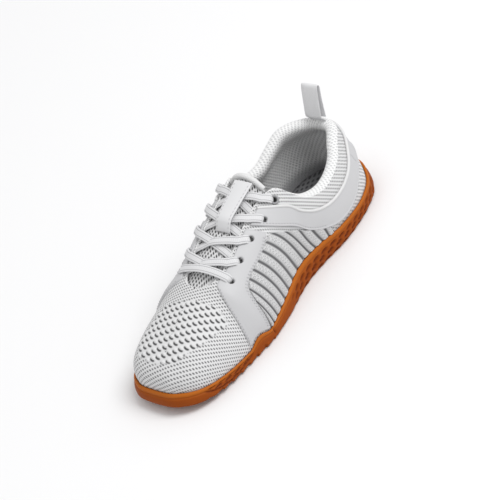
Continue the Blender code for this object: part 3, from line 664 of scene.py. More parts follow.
STRAP_SEAM_RISES = (0.40, 0.48, 0.56)
LACE_SLANT = 0.35

# A run of the lace: how far it turns on its own side, where it starts, passes over the throat's
# edge and ends, and its heights over the throat
LACE_START = (
    # rise over the eyelet, height over the upper in mm, more of it on the medial side
    (0.012, -1.2, 0.0),
    (0.030, 0.9, 0.0),
    (0.055, 2.3, 1.6),
)
LACE_OVER_EDGE = (0.03, 2.6, 1.8)
LACE_BAR_START = ((0.012, -1.2), (0.030, 0.9), (0.06, 2.4))
LACE_BAR_LIFT = 2.6 * MM
LACE_OVER_THROAT = 2.7 * MM
LACE_UNDER_THROAT = -1.3 * MM
LACE_HUMP = 1.4 * MM
LACE_END = (0.05, -2.2 * MM)
LACE_FLATNESS = 0.23
LACE_HALF_WIDTH = 0.54
LACE_CHEVRON = 1.5 * MM

# Threads: length, gap and radius of a stitch, and where the webbing's row stands in PULL_HEIGHTs
STRIP_STITCH = (2.2 * MM, 1.3 * MM, 0.22 * MM)
STRAP_STITCH = (1.6 * MM, 1.2 * MM, 0.3 * MM)
SADDLE_STITCH = (1.5 * MM, 1.3 * MM, 0.3 * MM)
WEBBING_STITCH = (1.6 * MM, 0.9 * MM, 0.3 * MM)
WEBBING_SEAM = (0.262, 0.19)
WEBBING_SEAM_HALF = 0.42
WEBBING_SEAM_LIFT = 0.6 * MM
WEBBING_THREAD = 0.9 * MM
STITCH_RINGS = 4
STITCH_SIDES = 6

# Colours
PALE = (0.66, 0.66, 0.665)
SHADE = (0.045, 0.045, 0.047)
# Painted shade: nearly black where a surface dips into an eyelet, standing in for the shade inside it
PIT_SHADE = (0.02, 0.02, 0.02)
# Painted shade: the tongue's knit holes, nearly black, for the shade seen through them
TONGUE_HOLE_SHADE = (0.02, 0.02, 0.021)
LINING_PALE = (0.80, 0.80, 0.80)
LINING_HOLE = (0.26, 0.26, 0.27)
# Painted shade on the lining low inside the shoe
LINING_SHADE = (0.30, 0.30, 0.31)
FILM = (0.49, 0.49, 0.50)
STRIP_FILM = (0.64, 0.64, 0.65)
PIPING = (0.64, 0.64, 0.64)
RUBBER = (0.25, 0.050, 0.005)
RUBBER_CLOUD = (0.295, 0.066, 0.008)
# Painted shade in the sole's dimples, grooves and crease
RUBBER_DIMPLE_SHADE = (0.13, 0.022, 0.004)
# Painted light along the lip of the sole, lighter and more orange where it catches the lamp
RUBBER_LIP_LIGHT = (0.42, 0.115, 0.013)
INSOLE_HOLE = (0.06, 0.06, 0.063)
INSOLE_GREY = (0.17, 0.17, 0.175)
BINDING = (0.68, 0.68, 0.68)
THREAD = (0.42, 0.42, 0.43)
RIB_PALE = (0.56, 0.56, 0.565)
# Painted shade in the grooves between the ribs
RIB_GROOVE_SHADE = (0.12, 0.12, 0.125)
RIB_DOT = (0.10, 0.10, 0.105)
LACE_PALE = (0.67, 0.67, 0.68)
LACE_WEAVE = (0.3, 0.3, 0.31)
LACE_LINE = (0.22, 0.22, 0.23)
RING_GREY = (0.27, 0.27, 0.28)
WEBBING = (0.78, 0.78, 0.79)
WEAVE_DARK = (0.35, 0.35, 0.36)
PAPER = (0.84, 0.84, 0.845)
PAPER_CLOUD = (0.85, 0.85, 0.855)

# Noise of the materials: scale, and detail where it is not the usual
YARN_NOISE = (900.0, 3.0)
GRAIN_NOISE = 1500.0
RUBBER_NOISE = 1200.0
FILM_CLOUD = 35.0
RUBBER_CLOUD_NOISE = (30.0, 3.0)
PAPER_NOISE = (2.0, 1.0)

# The studio
FLOOR_HALF = 6.0
SKY_STRENGTH = 0.76
LIGHTS = (
    # name, size, power, azimuth, elevation, distance
    ("key_light", 1.3, 36.0, 116.0, 58.0, 2.5),
)

# Knit: shifts of the large holes, which sit to one side of the knobs as the knit's holes and as
# the knobs' painted shade, and of the knobs between them, in counts of a course, and how
# much coarser the tongue's knit and the insole's mesh are than the upper's
HOLE_AND_SHADE_SHIFT = (0.82, 0.36)
KNOB_SHIFT = (0.5, 0.5)
TONGUE_KNIT = 1.15
INSOLE_MESH = 1.6
KNIT_BUMP_ZONE = (
    # station, rise: corners of the patch of raised bumps over the toes
    (0.720, 0.94),
    (0.690, 0.62),
    (0.700, 0.42),
    (0.794, 0.50),
    (0.939, 0.62),
    (-0.967, 0.62),
    (-0.879, 0.42),
    (-0.815, 0.45),
    (-0.725, 0.70),
)
KNIT_STEP = (2.05 * MM, 3.1 * MM)
KNIT_LEAN = (math.radians(146.0), math.radians(28.0))


def to_frame():
    """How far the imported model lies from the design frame."""
    s = np.linspace(-1.0, 1.0, 1601)
    out, share = SOLE_SIDE[2]
    ring = beside(s, out * MM - lip_tuck(s) * share**2, lip_height(s) * share)
    low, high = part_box("outsole")
    x = (low.x + high.x) / 2 - (ring[:, 0].min() + ring[:, 0].max()) / 2
    y = (low.y + high.y) / 2 - (ring[:, 1].min() + ring[:, 1].max()) / 2
    return np.array([x, y, 0.0])


SHIFT = to_frame()


# Meshes

def make_piece(name, points, faces, material, uv=None, values=None):
    """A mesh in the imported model's frame that moves with the shoe."""
    mesh = bpy.data.meshes.new(name)
    mesh.from_pydata([tuple(p) for p in np.asarray(points) + SHIFT], [], faces)
    if uv is not None:
        layer = mesh.uv_layers.new(name="flat")
        corners = np.zeros(len(mesh.loops), int)
        mesh.loops.foreach_get("vertex_index", corners)
        layer.data.foreach_set("uv", np.asarray(uv, float)[corners].reshape(-1))
    for label, data in (values or {}).items():
        attribute = mesh.attributes.new(label, "FLOAT", "POINT")
        attribute.data.foreach_set("value", np.asarray(data, np.float32))
    mesh.materials.append(material)
    made = bpy.data.objects.new(name, mesh)
    bpy.context.scene.collection.objects.link(made)
    mesh.shade_smooth()
    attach(made, "root")
    return made


def grid_faces(rows, columns, wrap=False):
    """Quads of a grid of points that is stored row by row."""
    faces = []
    last = columns if wrap else columns - 1
    for i in range(rows - 1):
        for j in range(last):
            k = (j + 1) % columns
            low = i * columns
            high = low + columns
            faces.append((low + j, low + k, high + k, high + j))
    return faces


def grid_piece(name, points, material, uv=None, values=None):
    """A piece from a grid of points; uv and values follow the grid."""
    rows, columns = points.shape[:2]
    flat_uv = None if uv is None else uv.reshape(-1, 2)
    flat_values = {k: v.reshape(-1) for k, v in (values or {}).items()}
    faces = grid_faces(rows, columns)
    return make_piece(name, points.reshape(-1, 3), faces, material, flat_uv, flat_values)


def rework(piece, job):
    """Runs a job on the mesh of a piece."""
    work = bmesh.new()
    work.from_mesh(piece.data)
    job(work)
    work.to_mesh(piece.data)
    work.free()


def weld(piece, distance=WELD):
    rework(piece, lambda work: bmesh.ops.remove_doubles(work, verts=work.verts, dist=distance))


def face_out(piece, fill=False):
    """Turns the faces outwards, after closing any holes where fill says so."""
    def job(work):
        if fill:
            bmesh.ops.holes_fill(work, edges=[e for e in work.edges if e.is_boundary], sides=0)
        bmesh.ops.recalc_face_normals(work, faces=work.faces)
    rework(piece, job)


def tube_piece(name, path, radii, material, across=None, sides=10, closed=False, flatten=1.0):
    """A tube along points; across gives the direction of its broad side where it is flat."""
    path = np.asarray(path, float)
    count = len(path)
    if closed:
        along = unit(np.roll(path, -1, axis=0) - np.roll(path, 1, axis=0))
    else:
        along = unit(np.gradient(path, axis=0))
    if across is None:
        across = np.broadcast_to(np.array([0.0, 0.0, 1.0]), path.shape)
    across = unit(across - along * (across * along).sum(axis=1)[:, None])
    other = np.cross(along, across)
    radii = np.broadcast_to(radii, (count,))
    turns = np.linspace(0.0, 2.0 * math.pi, sides + 1)
    power = 0.75 if flatten < 1.0 else 1.0
    c = np.sign(np.cos(turns)) * np.abs(np.cos(turns)) ** power
    d = np.sign(np.sin(turns)) * np.abs(np.sin(turns)) ** power
    rings = (path[:, None, :] + across[:, None, :] * (c[None, :] * radii[:, None])[..., None]
             + other[:, None, :] * (d[None, :] * radii[:, None] * flatten)[..., None])
    step = run_of(path)
    uv = np.stack([np.broadcast_to(turns / (2.0 * math.pi), (count, sides + 1)),
                   np.broadcast_to(step[:, None], (count, sides + 1))], axis=-1)
    if closed:
        rings = np.concatenate([rings, rings[:1]])
        uv = np.concatenate([uv, uv[-1:] + np.array([0.0, step[1]])])
    made = grid_piece(name, rings, material, uv)
    weld(made)
    face_out(made, fill=True)
    return made


# The knit laid flat, so that its pattern keeps its size all over the shoe

def flat_pattern():
    """Unwraps a coarse copy of the upper's face: rows of rise, columns of the way round."""
    turn = np.linspace(0.0, 2.0, FLAT_COLUMNS + 1)
    s = np.where(turn <= 1.0, turn, turn - 2.0)
    points = np.array([place(s, np.full_like(s, v)) for v in np.linspace(0.0, 1.0, FLAT_ROWS + 1)])
    mesh = bpy.data.meshes.new("flat")
    faces = grid_faces(FLAT_ROWS + 1, FLAT_COLUMNS + 1)
    mesh.from_pydata([tuple(p) for p in points.reshape(-1, 3)], [], faces)
    made = bpy.data.objects.new("flat", mesh)
    bpy.context.scene.collection.objects.link(made)
    # The two sides are joined along the ridge of the vamp
    top = FLAT_ROWS * (FLAT_COLUMNS + 1)
    mates = {}
    for j in range(1, FLAT_COLUMNS // 2):
        if s[j] >= THROAT_END:
            mates[top + j] = top + FLAT_COLUMNS - j
    work = bmesh.new()
    work.from_mesh(mesh)
    work.verts.ensure_lookup_table()
    number = work.verts.layers.int.new("number")
    for vertex in work.verts:
        vertex[number] = vertex.index
    targets = {work.verts[a]: work.verts[b] for b, a in mates.items()}
    bmesh.ops.weld_verts(work, targetmap=targets)
    work.to_mesh(mesh)
    work.free()
    mesh.uv_layers.new(name="flat")
    for item in bpy.context.view_layer.objects:
        item.select_set(False)
    made.select_set(True)
    bpy.context.view_layer.objects.active = made
    bpy.ops.object.mode_set(mode="EDIT")
    bpy.ops.mesh.select_all(action="SELECT")
    bpy.ops.uv.unwrap(method="ANGLE_BASED", margin=0.0)
    bpy.ops.object.mode_set(mode="OBJECT")
    numbers = np.zeros(len(mesh.vertices), int)
    mesh.attributes["number"].data.foreach_get("value", numbers)
    corners = np.zeros(len(mesh.loops), int)
    mesh.loops.foreach_get("vertex_index", corners)
    found = np.zeros(len(mesh.loops) * 2)
    mesh.uv_layers["flat"].data.foreach_get("uv", found)
    flat = np.zeros((points[..., 0].size, 2))
    flat[numbers[corners]] = found.reshape(-1, 2)
    for b, a in mates.items():
        flat[a] = flat[b]
    bpy.data.objects.remove(made, do_unlink=True)
    flat = flat.reshape(FLAT_ROWS + 1, FLAT_COLUMNS + 1, 2)
    # Turned and scaled so that its first axis runs to the toe and it measures metres
    throat = flat[FLAT_ROWS, RIDGE_COLUMNS[0]]
    toe = flat[FLAT_ROWS, RIDGE_COLUMNS[2]]
    real = np.linalg.norm(points[FLAT_ROWS, RIDGE_COLUMNS[2]] - points[FLAT_ROWS, RIDGE_COLUMNS[0]])
    ahead = (toe - throat) / np.linalg.norm(toe - throat) ** 2 * real
    turned = np.stack([flat @ ahead, flat @ np.array([-ahead[1], ahead[0]])], axis=-1)
    middle = turned[FLAT_ROWS, RIDGE_COLUMNS[1]]
    side = np.sign((turned[RIDGE_BESIDE_ROW, RIDGE_COLUMNS[1]] - middle)[1])
    return (turned - middle) * np.array([1.0, side])


FLAT = flat_pattern()


def flat_at(s, v):
    """The flat pattern's place of a point on the upper, in metres."""
    s, v = np.broadcast_arrays(np.asarray(s, float), np.asarray(v, float))
    column = np.where(s >= 0.0, s, s + 2.0) * (FLAT_COLUMNS / 2.0)
    row = np.clip(v, 0.0, 1.0) * FLAT_ROWS
    j = np.clip(column.astype(int), 0, FLAT_COLUMNS - 1)
    i = np.clip(row.astype(int), 0, FLAT_ROWS - 1)
    a = (column - j)[..., None]
    b = (row - i)[..., None]
    return ((FLAT[i, j] * (1 - a) + FLAT[i, j + 1] * a) * (1 - b)
            + (FLAT[i + 1, j] * (1 - a) + FLAT[i + 1, j + 1] * a) * b)


def knit_phase(flat):
    """Counts of the knit's two sets of courses at a place of the flat pattern."""
    phases = []
    for step, lean in zip(KNIT_STEP, KNIT_LEAN):
        phases.append((flat[..., 0] * math.cos(lean) + flat[..., 1] * math.sin(lean)) / step)
    return np.stack(phases, axis=-1)


def inside(points, corners):
    """Distance inside a closed outline in the flat pattern, negative outside."""
    corners = np.asarray(corners)
    nearest = np.full(points.shape[:-1], 1.0)
    crossings = np.zeros(points.shape[:-1], int)
    for a, b in zip(corners, np.roll(corners, -1, axis=0)):
        side = b - a
        t = np.clip(((points - a) @ side) / (side @ side), 0.0, 1.0)
        nearest = np.minimum(nearest, np.linalg.norm(points - a - t[..., None] * side, axis=-1))
        above = (a[1] > points[..., 1]) != (b[1] > points[..., 1])
        rise = side[1] if abs(side[1]) > 1e-9 else 1e-9
        x = a[0] + (points[..., 1] - a[1]) * side[0] / rise
        crossings += above & (points[..., 0] < x)
    return np.where(crossings % 2 == 1, nearest, -nearest)


def pits(points, depth, radius):
    """How far a surface sinks at each eyelet; points are in the design frame."""
    sink = np.zeros(points.shape[:-1])
    for station, rise in EYELETS:
        for side in (1.0, -1.0):
            centre = lifted(side * station, rise, 0.0)
            away = np.linalg.norm(points - centre, axis=-1)
            sink = np.maximum(sink, depth * ease((radius * 1.25 - away) / (radius * 0.5)))
    return sink


# Materials

class Graph:
    """Short names for the nodes of one material."""

    def __init__(self, name):
        self.material = bpy.data.materials.new(name)
        self.material.use_nodes = True
        self.tree = self.material.node_tree
        self.shader = self.tree.nodes["Principled BSDF"]

    def put(self, socket, value):
        if isinstance(value, bpy.types.NodeSocket):
            self.tree.links.new(value, socket)
        else:
            socket.default_value = value

    def math(self, operation, a, b=0.0, c=0.0):
        node = self.tree.nodes.new("ShaderNodeMath")
        node.operation = operation
        for socket, value in zip(node.inputs, (a, b, c)):
            self.put(socket, value)
        return node.outputs[0]

    def times(self, a, b):
        return self.math("MULTIPLY", a, b)

    def fall(self, value, low, high):
        """1 below low, 0 above high."""
        return self.math("SUBTRACT", 1.0, self.smooth(value, low, high))

    def smooth(self, value, low, high):
        node = self.tree.nodes.new("ShaderNodeMapRange")
        node.interpolation_type = "SMOOTHSTEP"
        self.put(node.inputs["Value"], value)
        node.inputs["From Min"].default_value = low
        node.inputs["From Max"].default_value = high
        return node.outputs["Result"]

    def mix(self, share, a, b):
        node = self.tree.nodes.new("ShaderNodeMix")
        node.data_type = "RGBA"
        self.put(node.inputs["Factor"], share)
        for socket, value in ((node.inputs["A"], a), (node.inputs["B"], b)):
            if not isinstance(value, bpy.types.NodeSocket):
                value = (*value, 1.0)
            self.put(socket, value)
        return node.outputs["Result"]

    def noise(self, scale, detail=2.0):
        node = self.tree.nodes.new("ShaderNodeTexNoise")
        node.inputs["Scale"].default_value = scale
        node.inputs["Detail"].default_value = detail
        place = self.tree.nodes.new("ShaderNodeTexCoord")
        self.tree.links.new(place.outputs["Object"], node.inputs["Vector"])
        return node.outputs["Fac"]

    def value(self, label):
        node = self.tree.nodes.new("ShaderNodeAttribute")
        node.attribute_name = label
        return node.outputs["Fac"]

    def flat(self):
        """The two numbers of the flat pattern."""
        node = self.tree.nodes.new("ShaderNodeUVMap")
        node.uv_map = "flat"
        split = self.tree.nodes.new("ShaderNodeSeparateXYZ")
        self.tree.links.new(node.outputs["UV"], split.inputs["Vector"])
        return split.outputs["X"], split.outputs["Y"]

    def bump(self, height, strength, distance):
        node = self.tree.nodes.new("ShaderNodeBump")
        node.inputs["Strength"].default_value = strength
        node.inputs["Distance"].default_value = distance
        self.put(node.inputs["Height"], height)
        self.tree.links.new(node.outputs["Normal"], self.shader.inputs["Normal"])

    def finish(self, color, roughness, coat=0.0, sheen=0.0):
        if not isinstance(color, bpy.types.NodeSocket):
            color = (*color, 1.0)
        self.put(self.shader.inputs["Base Color"], color)
        self.put(self.shader.inputs["Roughness"], roughness)
        self.shader.inputs["Coat Weight"].default_value = coat
        self.shader.inputs["Sheen Weight"].default_value = sheen
        self.shader.inputs["Sheen Roughness"].default_value = 0.5
        return self.material


def lattice(graph, scale, shift=(0.0, 0.0)):
    """Distance from the nearest crossing of the knit's courses, in counts of a course."""
    u, v = graph.flat()
    squares = []
    for step, lean, offset in zip(KNIT_STEP, KNIT_LEAN, shift):
        x = graph.math("MULTIPLY_ADD", u, math.cos(lean) / step / scale, offset)
        phase = graph.math("MULTIPLY_ADD", v, math.sin(lean) / step / scale, x)
        off = graph.math("SUBTRACT", graph.math("FRACT", phase), 0.5)
        squares.append(graph.times(off, off))
    return graph.math("SQRT", graph.math("ADD", squares[0], squares[1]))


def knit_material(name, scale, base, hole_shade, depth):
    graph = Graph(name)
    away = lattice(graph, scale)
    # The holes are painted dark, for the shade seen through them
    holes = graph.times(graph.fall(away, 0.20, 0.42), depth)
    height = graph.math("MULTIPLY_ADD", graph.noise(*YARN_NOISE), 0.25, graph.smooth(away, 0.1, 0.5))
    graph.bump(height, 0.5, 0.6 * MM)
    return graph.finish(graph.mix(holes, base, hole_shade), 0.85, sheen=0.15)


def upper_material():
    """Fine knit with holes all over, painted dark as shade, larger between the raised bumps over the
    toes, where they sit to one side of each bump as its painted shade.
    """
    graph = Graph("upper_knit")
    zone = graph.value("bump_zone")
    fine = graph.fall(lattice(graph, 1.0), 0.18, 0.40)
    fine = graph.times(fine, graph.math("SUBTRACT", 1.0, zone))
    # Large dark marks off to one side of each knob: the knit's holes, and painted shade on the knob's
    # shaded side
    large_holes_and_shade = graph.fall(lattice(graph, 2.0, HOLE_AND_SHADE_SHIFT), 0.22, 0.42)
    knob = graph.smooth(lattice(graph, 2.0, KNOB_SHIFT), 0.24, 0.33)
    large_holes_and_shade = graph.times(graph.times(large_holes_and_shade, knob), zone)
    holes = graph.math("ADD", graph.times(fine, 0.80), graph.times(large_holes_and_shade, 0.95))
    # Painted shade: the eyelet pits go nearly black, for the shade inside the eyelets
    color = graph.mix(graph.value("pit_shade"), graph.mix(holes, PALE, SHADE), PIT_SHADE)
    height = graph.math("SUBTRACT", graph.times(graph.noise(*YARN_NOISE), 0.25), holes)
    graph.bump(height, 0.5, 0.5 * MM)
    return graph.finish(color, 0.85, sheen=0.15)


def lining_material():
    """Soft waffle cloth of the collar and the inside, with painted shade making it darker towards the
    floor.
    """
    graph = Graph("lining_cloth")
    holes = graph.fall(lattice(graph, 1.0), 0.15, 0.45)
    color = graph.mix(graph.times(holes, 0.45), LINING_PALE, LINING_HOLE)
    # Painted shade: the lining darkens low inside the shoe
    color = graph.mix(graph.value("inner_shade"), color, LINING_SHADE)
    graph.bump(graph.math("SUBTRACT", 1.0, holes), 0.6, 0.6 * MM)
    return graph.finish(color, 0.9, sheen=0.3)


def film_material(name, base):
    """Smooth film with a faint cloud and grain, and painted shade, nearly black, where it dips into an
    eyelet.
    """
    graph = Graph(name)
    color = graph.mix(graph.noise(FILM_CLOUD), base, tuple(c * 1.05 for c in base))
    # Painted shade inside the eyelet pits
    color = graph.mix(graph.value("pit_shade"), color, PIT_SHADE)
    graph.bump(graph.noise(GRAIN_NOISE), 0.12, 0.2 * MM)
    return graph.finish(color, 0.5)


def rubber_material():
    """Gum rubber, with painted light making it lighter and more orange along the lip, and painted shade
    making it browner and deeper in the dimples.
    """
    graph = Graph("gum_rubber")
    color = graph.mix(graph.noise(*RUBBER_CLOUD_NOISE), RUBBER, RUBBER_CLOUD)
    # Painted shade in the dimples, the arched groove and the crease
    color = graph.mix(graph.times(graph.value("dimple_shade"), 0.9), color, RUBBER_DIMPLE_SHADE)
    # Painted light along the upper side and the top of the lip
    color = graph.mix(graph.value("lip_light"), color, RUBBER_LIP_LIGHT)
    graph.bump(graph.noise(RUBBER_NOISE), 0.1, 0.2 * MM)
    graph.shader.inputs["Specular IOR Level"].default_value = 0.08
    return graph.finish(color, 0.5)


def cloth_material(name, base, scale_u, scale_v, depth):
    """Woven tape: fine ribs both ways in the tape's own flat numbers."""
    graph = Graph(name)
    u, v = graph.flat()
    across = graph.math("SINE", graph.times(u, scale_u))
    along = graph.math("SINE", graph.times(v, scale_v))
    weave = graph.times(across, along)
    share = graph.smooth(weave, -1.0, 1.0)
    graph.bump(share, 0.5, 0.3 * MM)
    return graph.finish(graph.mix(graph.times(share, depth), base, WEAVE_DARK), 0.85, sheen=0.2)


# Shapes shared by the pieces

def way_round():
    """Fine stations once round the shoe, with the heel twice and the throat's end on one."""
    turn = np.linspace(0.0, 2.0, 2 * FINE_STEPS + 1)
    turn = np.unique(np.concatenate([turn, [THROAT_END, 2.0 - THROAT_END]]))
    # The surface has no direction at the very tip of the toe, so a station there stands just beside it
    turn = np.where(turn == 1.0, TOE_STATION, turn)
    return np.where(turn <= 1.0, turn, turn - 2.0)


def refine(points, rows, columns):
    """A smooth finer grid through a grid of points."""
    for count in (rows, columns):
        points = at_steps(points, np.linspace(0.0, len(points) - 1.0, count)).transpose(1, 0, 2)
    return points


def measured(points):
    """Flat numbers of a grid of points: metres along its rows and its columns."""
    u = run_of(points, 1)
    return np.stack([u - u.mean(axis=1, keepdims=True), run_of(points, 0)], axis=-1)


def thick_piece(name, low, high, material, edge=0.3 * MM):
    """A closed sheet between two fine grids, with a rounded edge all round."""
    middle = (low + high) / 2
    closed = np.concatenate([high, middle[:, -1:], low[:, ::-1], middle[:, :1]], axis=1)
    out = unit(closed[:, high.shape[1]] - closed[:, high.shape[1] - 1])
    closed[:, high.shape[1]] += out * edge
    closed[:, -1] += unit(closed[:, 0] - closed[:, 1]) * edge
    closed = np.concatenate([closed, closed[:, :1]], axis=1)
    flat = measured(high)
    pads = [flat, flat[:, -1:], flat[:, ::-1], flat[:, :1], flat[:, :1]]
    made = grid_piece(name, closed, material, np.concatenate(pads, axis=1))
    weld(made)
    face_out(made, fill=True)
    return made


def stitches(name, path, outs, material, size):
    """A row of short threads along a path, half sunk in what they hold."""
    length, gap, radius = size
    path = np.asarray(path)
    steps = run_of(path)

    def at(distance, rows):
        return np.array([np.interp(distance, steps, rows[:, c]) for c in range(3)])

    verts, faces = [], []
    for start in np.arange(gap, steps[-1] - length, length + gap):
        first = len(verts)
        for k in range(STITCH_RINGS):
            end = k in (0, STITCH_RINGS - 1)
            distance = start + k / (STITCH_RINGS - 1.0) * length
            centre = at(distance, path)
            out = unit(at(distance, outs))
            side = unit(np.cross(out, at(distance + gap / 4, path) - centre))
            thick = radius * (0.45 if end else 1.0)
            sunk = -0.1 * MM if end else 0.15 * MM
            for turn in range(STITCH_SIDES):
                angle = turn * 2.0 * math.pi / STITCH_SIDES
                around = side * math.cos(angle) + out * math.sin(angle)
                verts.append(centre + out * sunk + around * thick)
        for k in range(STITCH_RINGS - 1):
            for turn in range(STITCH_SIDES):
                a = first + k * STITCH_SIDES + turn
                b = first + k * STITCH_SIDES + (turn + 1) % STITCH_SIDES
                faces.append((a, b, b + STITCH_SIDES, a + STITCH_SIDES))
        last = first + (STITCH_RINGS - 1) * STITCH_SIDES
        faces.append(tuple(first + turn for turn in reversed(range(STITCH_SIDES))))
        faces.append(tuple(last + turn for turn in range(STITCH_SIDES)))
    return make_piece(name, np.array(verts), faces, material)


def on_upper(rows, lift):
    """Points and the directions out of the upper along a list of station and rise."""
    rows = np.asarray(rows, float)
    s, v = rows[:, 0], rows[:, 1]
    low = lifted(s, v, np.full_like(s, lift))
    return low, unit(lifted(s, v, np.full_like(s, lift + MM)) - low)


def soften(rows, reach):
    """Rows averaged with those beside them, with the ends kept."""
    for _ in range(reach):
        rows = np.concatenate([rows[:1], (rows[:-2] + 2.0 * rows[1:-1] + rows[2:]) / 4.0, rows[-1:]])
    return rows


# The pieces

def build_upper():
    s = way_round()
    count = len(s)
    edge = rise_top(s)
    levels = np.linspace(0.0, 1.0, FINE_RISE + 1)
    grid_s = np.broadcast_to(s, (FINE_RISE + 1, count))
    grid_v = edge[None, :] * levels[:, None]
    flat = flat_at(grid_s, grid_v)
    corners = flat_at([row[0] for row in KNIT_BUMP_ZONE], [row[1] for row in KNIT_BUMP_ZONE])
    zone = ease(inside(flat, corners) / BUMP_ZONE_FADE + 0.5)
    waves = 0.5 + 0.5 * np.cos(2.0 * math.pi * knit_phase(flat) / 2.0)
    raised = zone * (waves[..., 0] * waves[..., 1]) * BUMP_RISE
    outer = lifted(grid_s, grid_v, raised)
    sink = pits(outer, EYELET_PIT, EYELET_BORE / 2 + PIT_MARGIN)
    outer = lifted(grid_s, grid_v, raised - sink)
    plain = place(s, edge)
    normal = unit(lifted(s, edge, np.full(count, MM)) - plain)
    rise = unit(plain - place(s, edge - 0.01))
    thickness = thickness_of(s, 1.0)
    roll = []
    for turn in np.linspace(0.0, math.pi, ROLL_STEPS + 2)[1:-1]:
        across = math.cos(turn) * normal + math.sin(turn) * rise
        roll.append(plain + ((across - normal) * thickness[:, None]) / 2)
    roll = np.array(roll)
    open_edge = np.abs(s) < THROAT_END
    roll[:, ~open_edge] = (plain - normal * thickness[:, None])[~open_edge]
    inner = []
    for level in np.linspace(1.0, 0.0, LINING_RISE + 1):
        inner.append(lifted(s, edge * level, -thickness_of(s, level)))
    floor_inset = lip_tuck(s) + LIP_THICKNESS + CUP_DRAFT + GAP
    floor_level = np.full(count, FLOOR_THICKNESS + GAP)
    foot = beside(s, -floor_inset, floor_level)
    wall_foot = beside(s, -(floor_inset + WALL), floor_level)
    for share in np.linspace(0.0, 1.0, FOOT_RISE + 1)[1:]:
        inner.append(inner[LINING_RISE] * (1 - share) + wall_foot * share)
    inner = np.array(inner)
    points = np.concatenate([foot[None], outer, outer[-1:], roll, inner, foot[None]])
    rows = len(points)
    inner_flat = measured(points[FINE_RISE + 2:])
    inner_flat[..., 0] = inner_flat[:1, :, 0]
    all_flat = np.concatenate([flat[:1], flat, inner_flat])
    outer_rows = FINE_RISE + 2
    zeros = np.zeros((rows - outer_rows, count))
    # Painted shade for the lining, none on the outer face and growing lower inside the shoe
    inner_shade = np.zeros((rows, count))
    heights = points[outer_rows:, :, 2]
    inner_shade[outer_rows:] = ease((LINING_SHADE_TOP - heights) / (LINING_SHADE_TOP - LINING_SHADE_FOOT))
    values = {
        "bump_zone": np.concatenate([zone[:1], zone, zeros]),
        # Depth of the eyelet pits, which the knit's material turns into painted shade, nearly black
        "pit_shade": np.concatenate([sink[:1], sink, zeros]) / EYELET_PIT,
        "inner_shade": inner_shade,
    }
    faces = []
    kinds = []
    for i, face in enumerate(grid_faces(rows, count)):
        row, column = divmod(i, count - 1)
        closed = not open_edge[column] and not open_edge[column + 1]
        if row == outer_rows - 1 or (closed and outer_rows <= row <= outer_rows + ROLL_STEPS):
            continue
        faces.append(face)
        kinds.append(1 if row >= outer_rows else 0)
    made = make_piece("upper_shell", points.reshape(-1, 3), faces, upper_material(),
                      all_flat.reshape(-1, 2), {k: v.reshape(-1) for k, v in values.items()})
    made.data.materials.append(lining_material())
    made.data.polygons.foreach_set("material_index", kinds)
    weld(made, SHELL_WELD)
    face_out(made)
    made.data.shade_smooth()
    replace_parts(made, "upper")


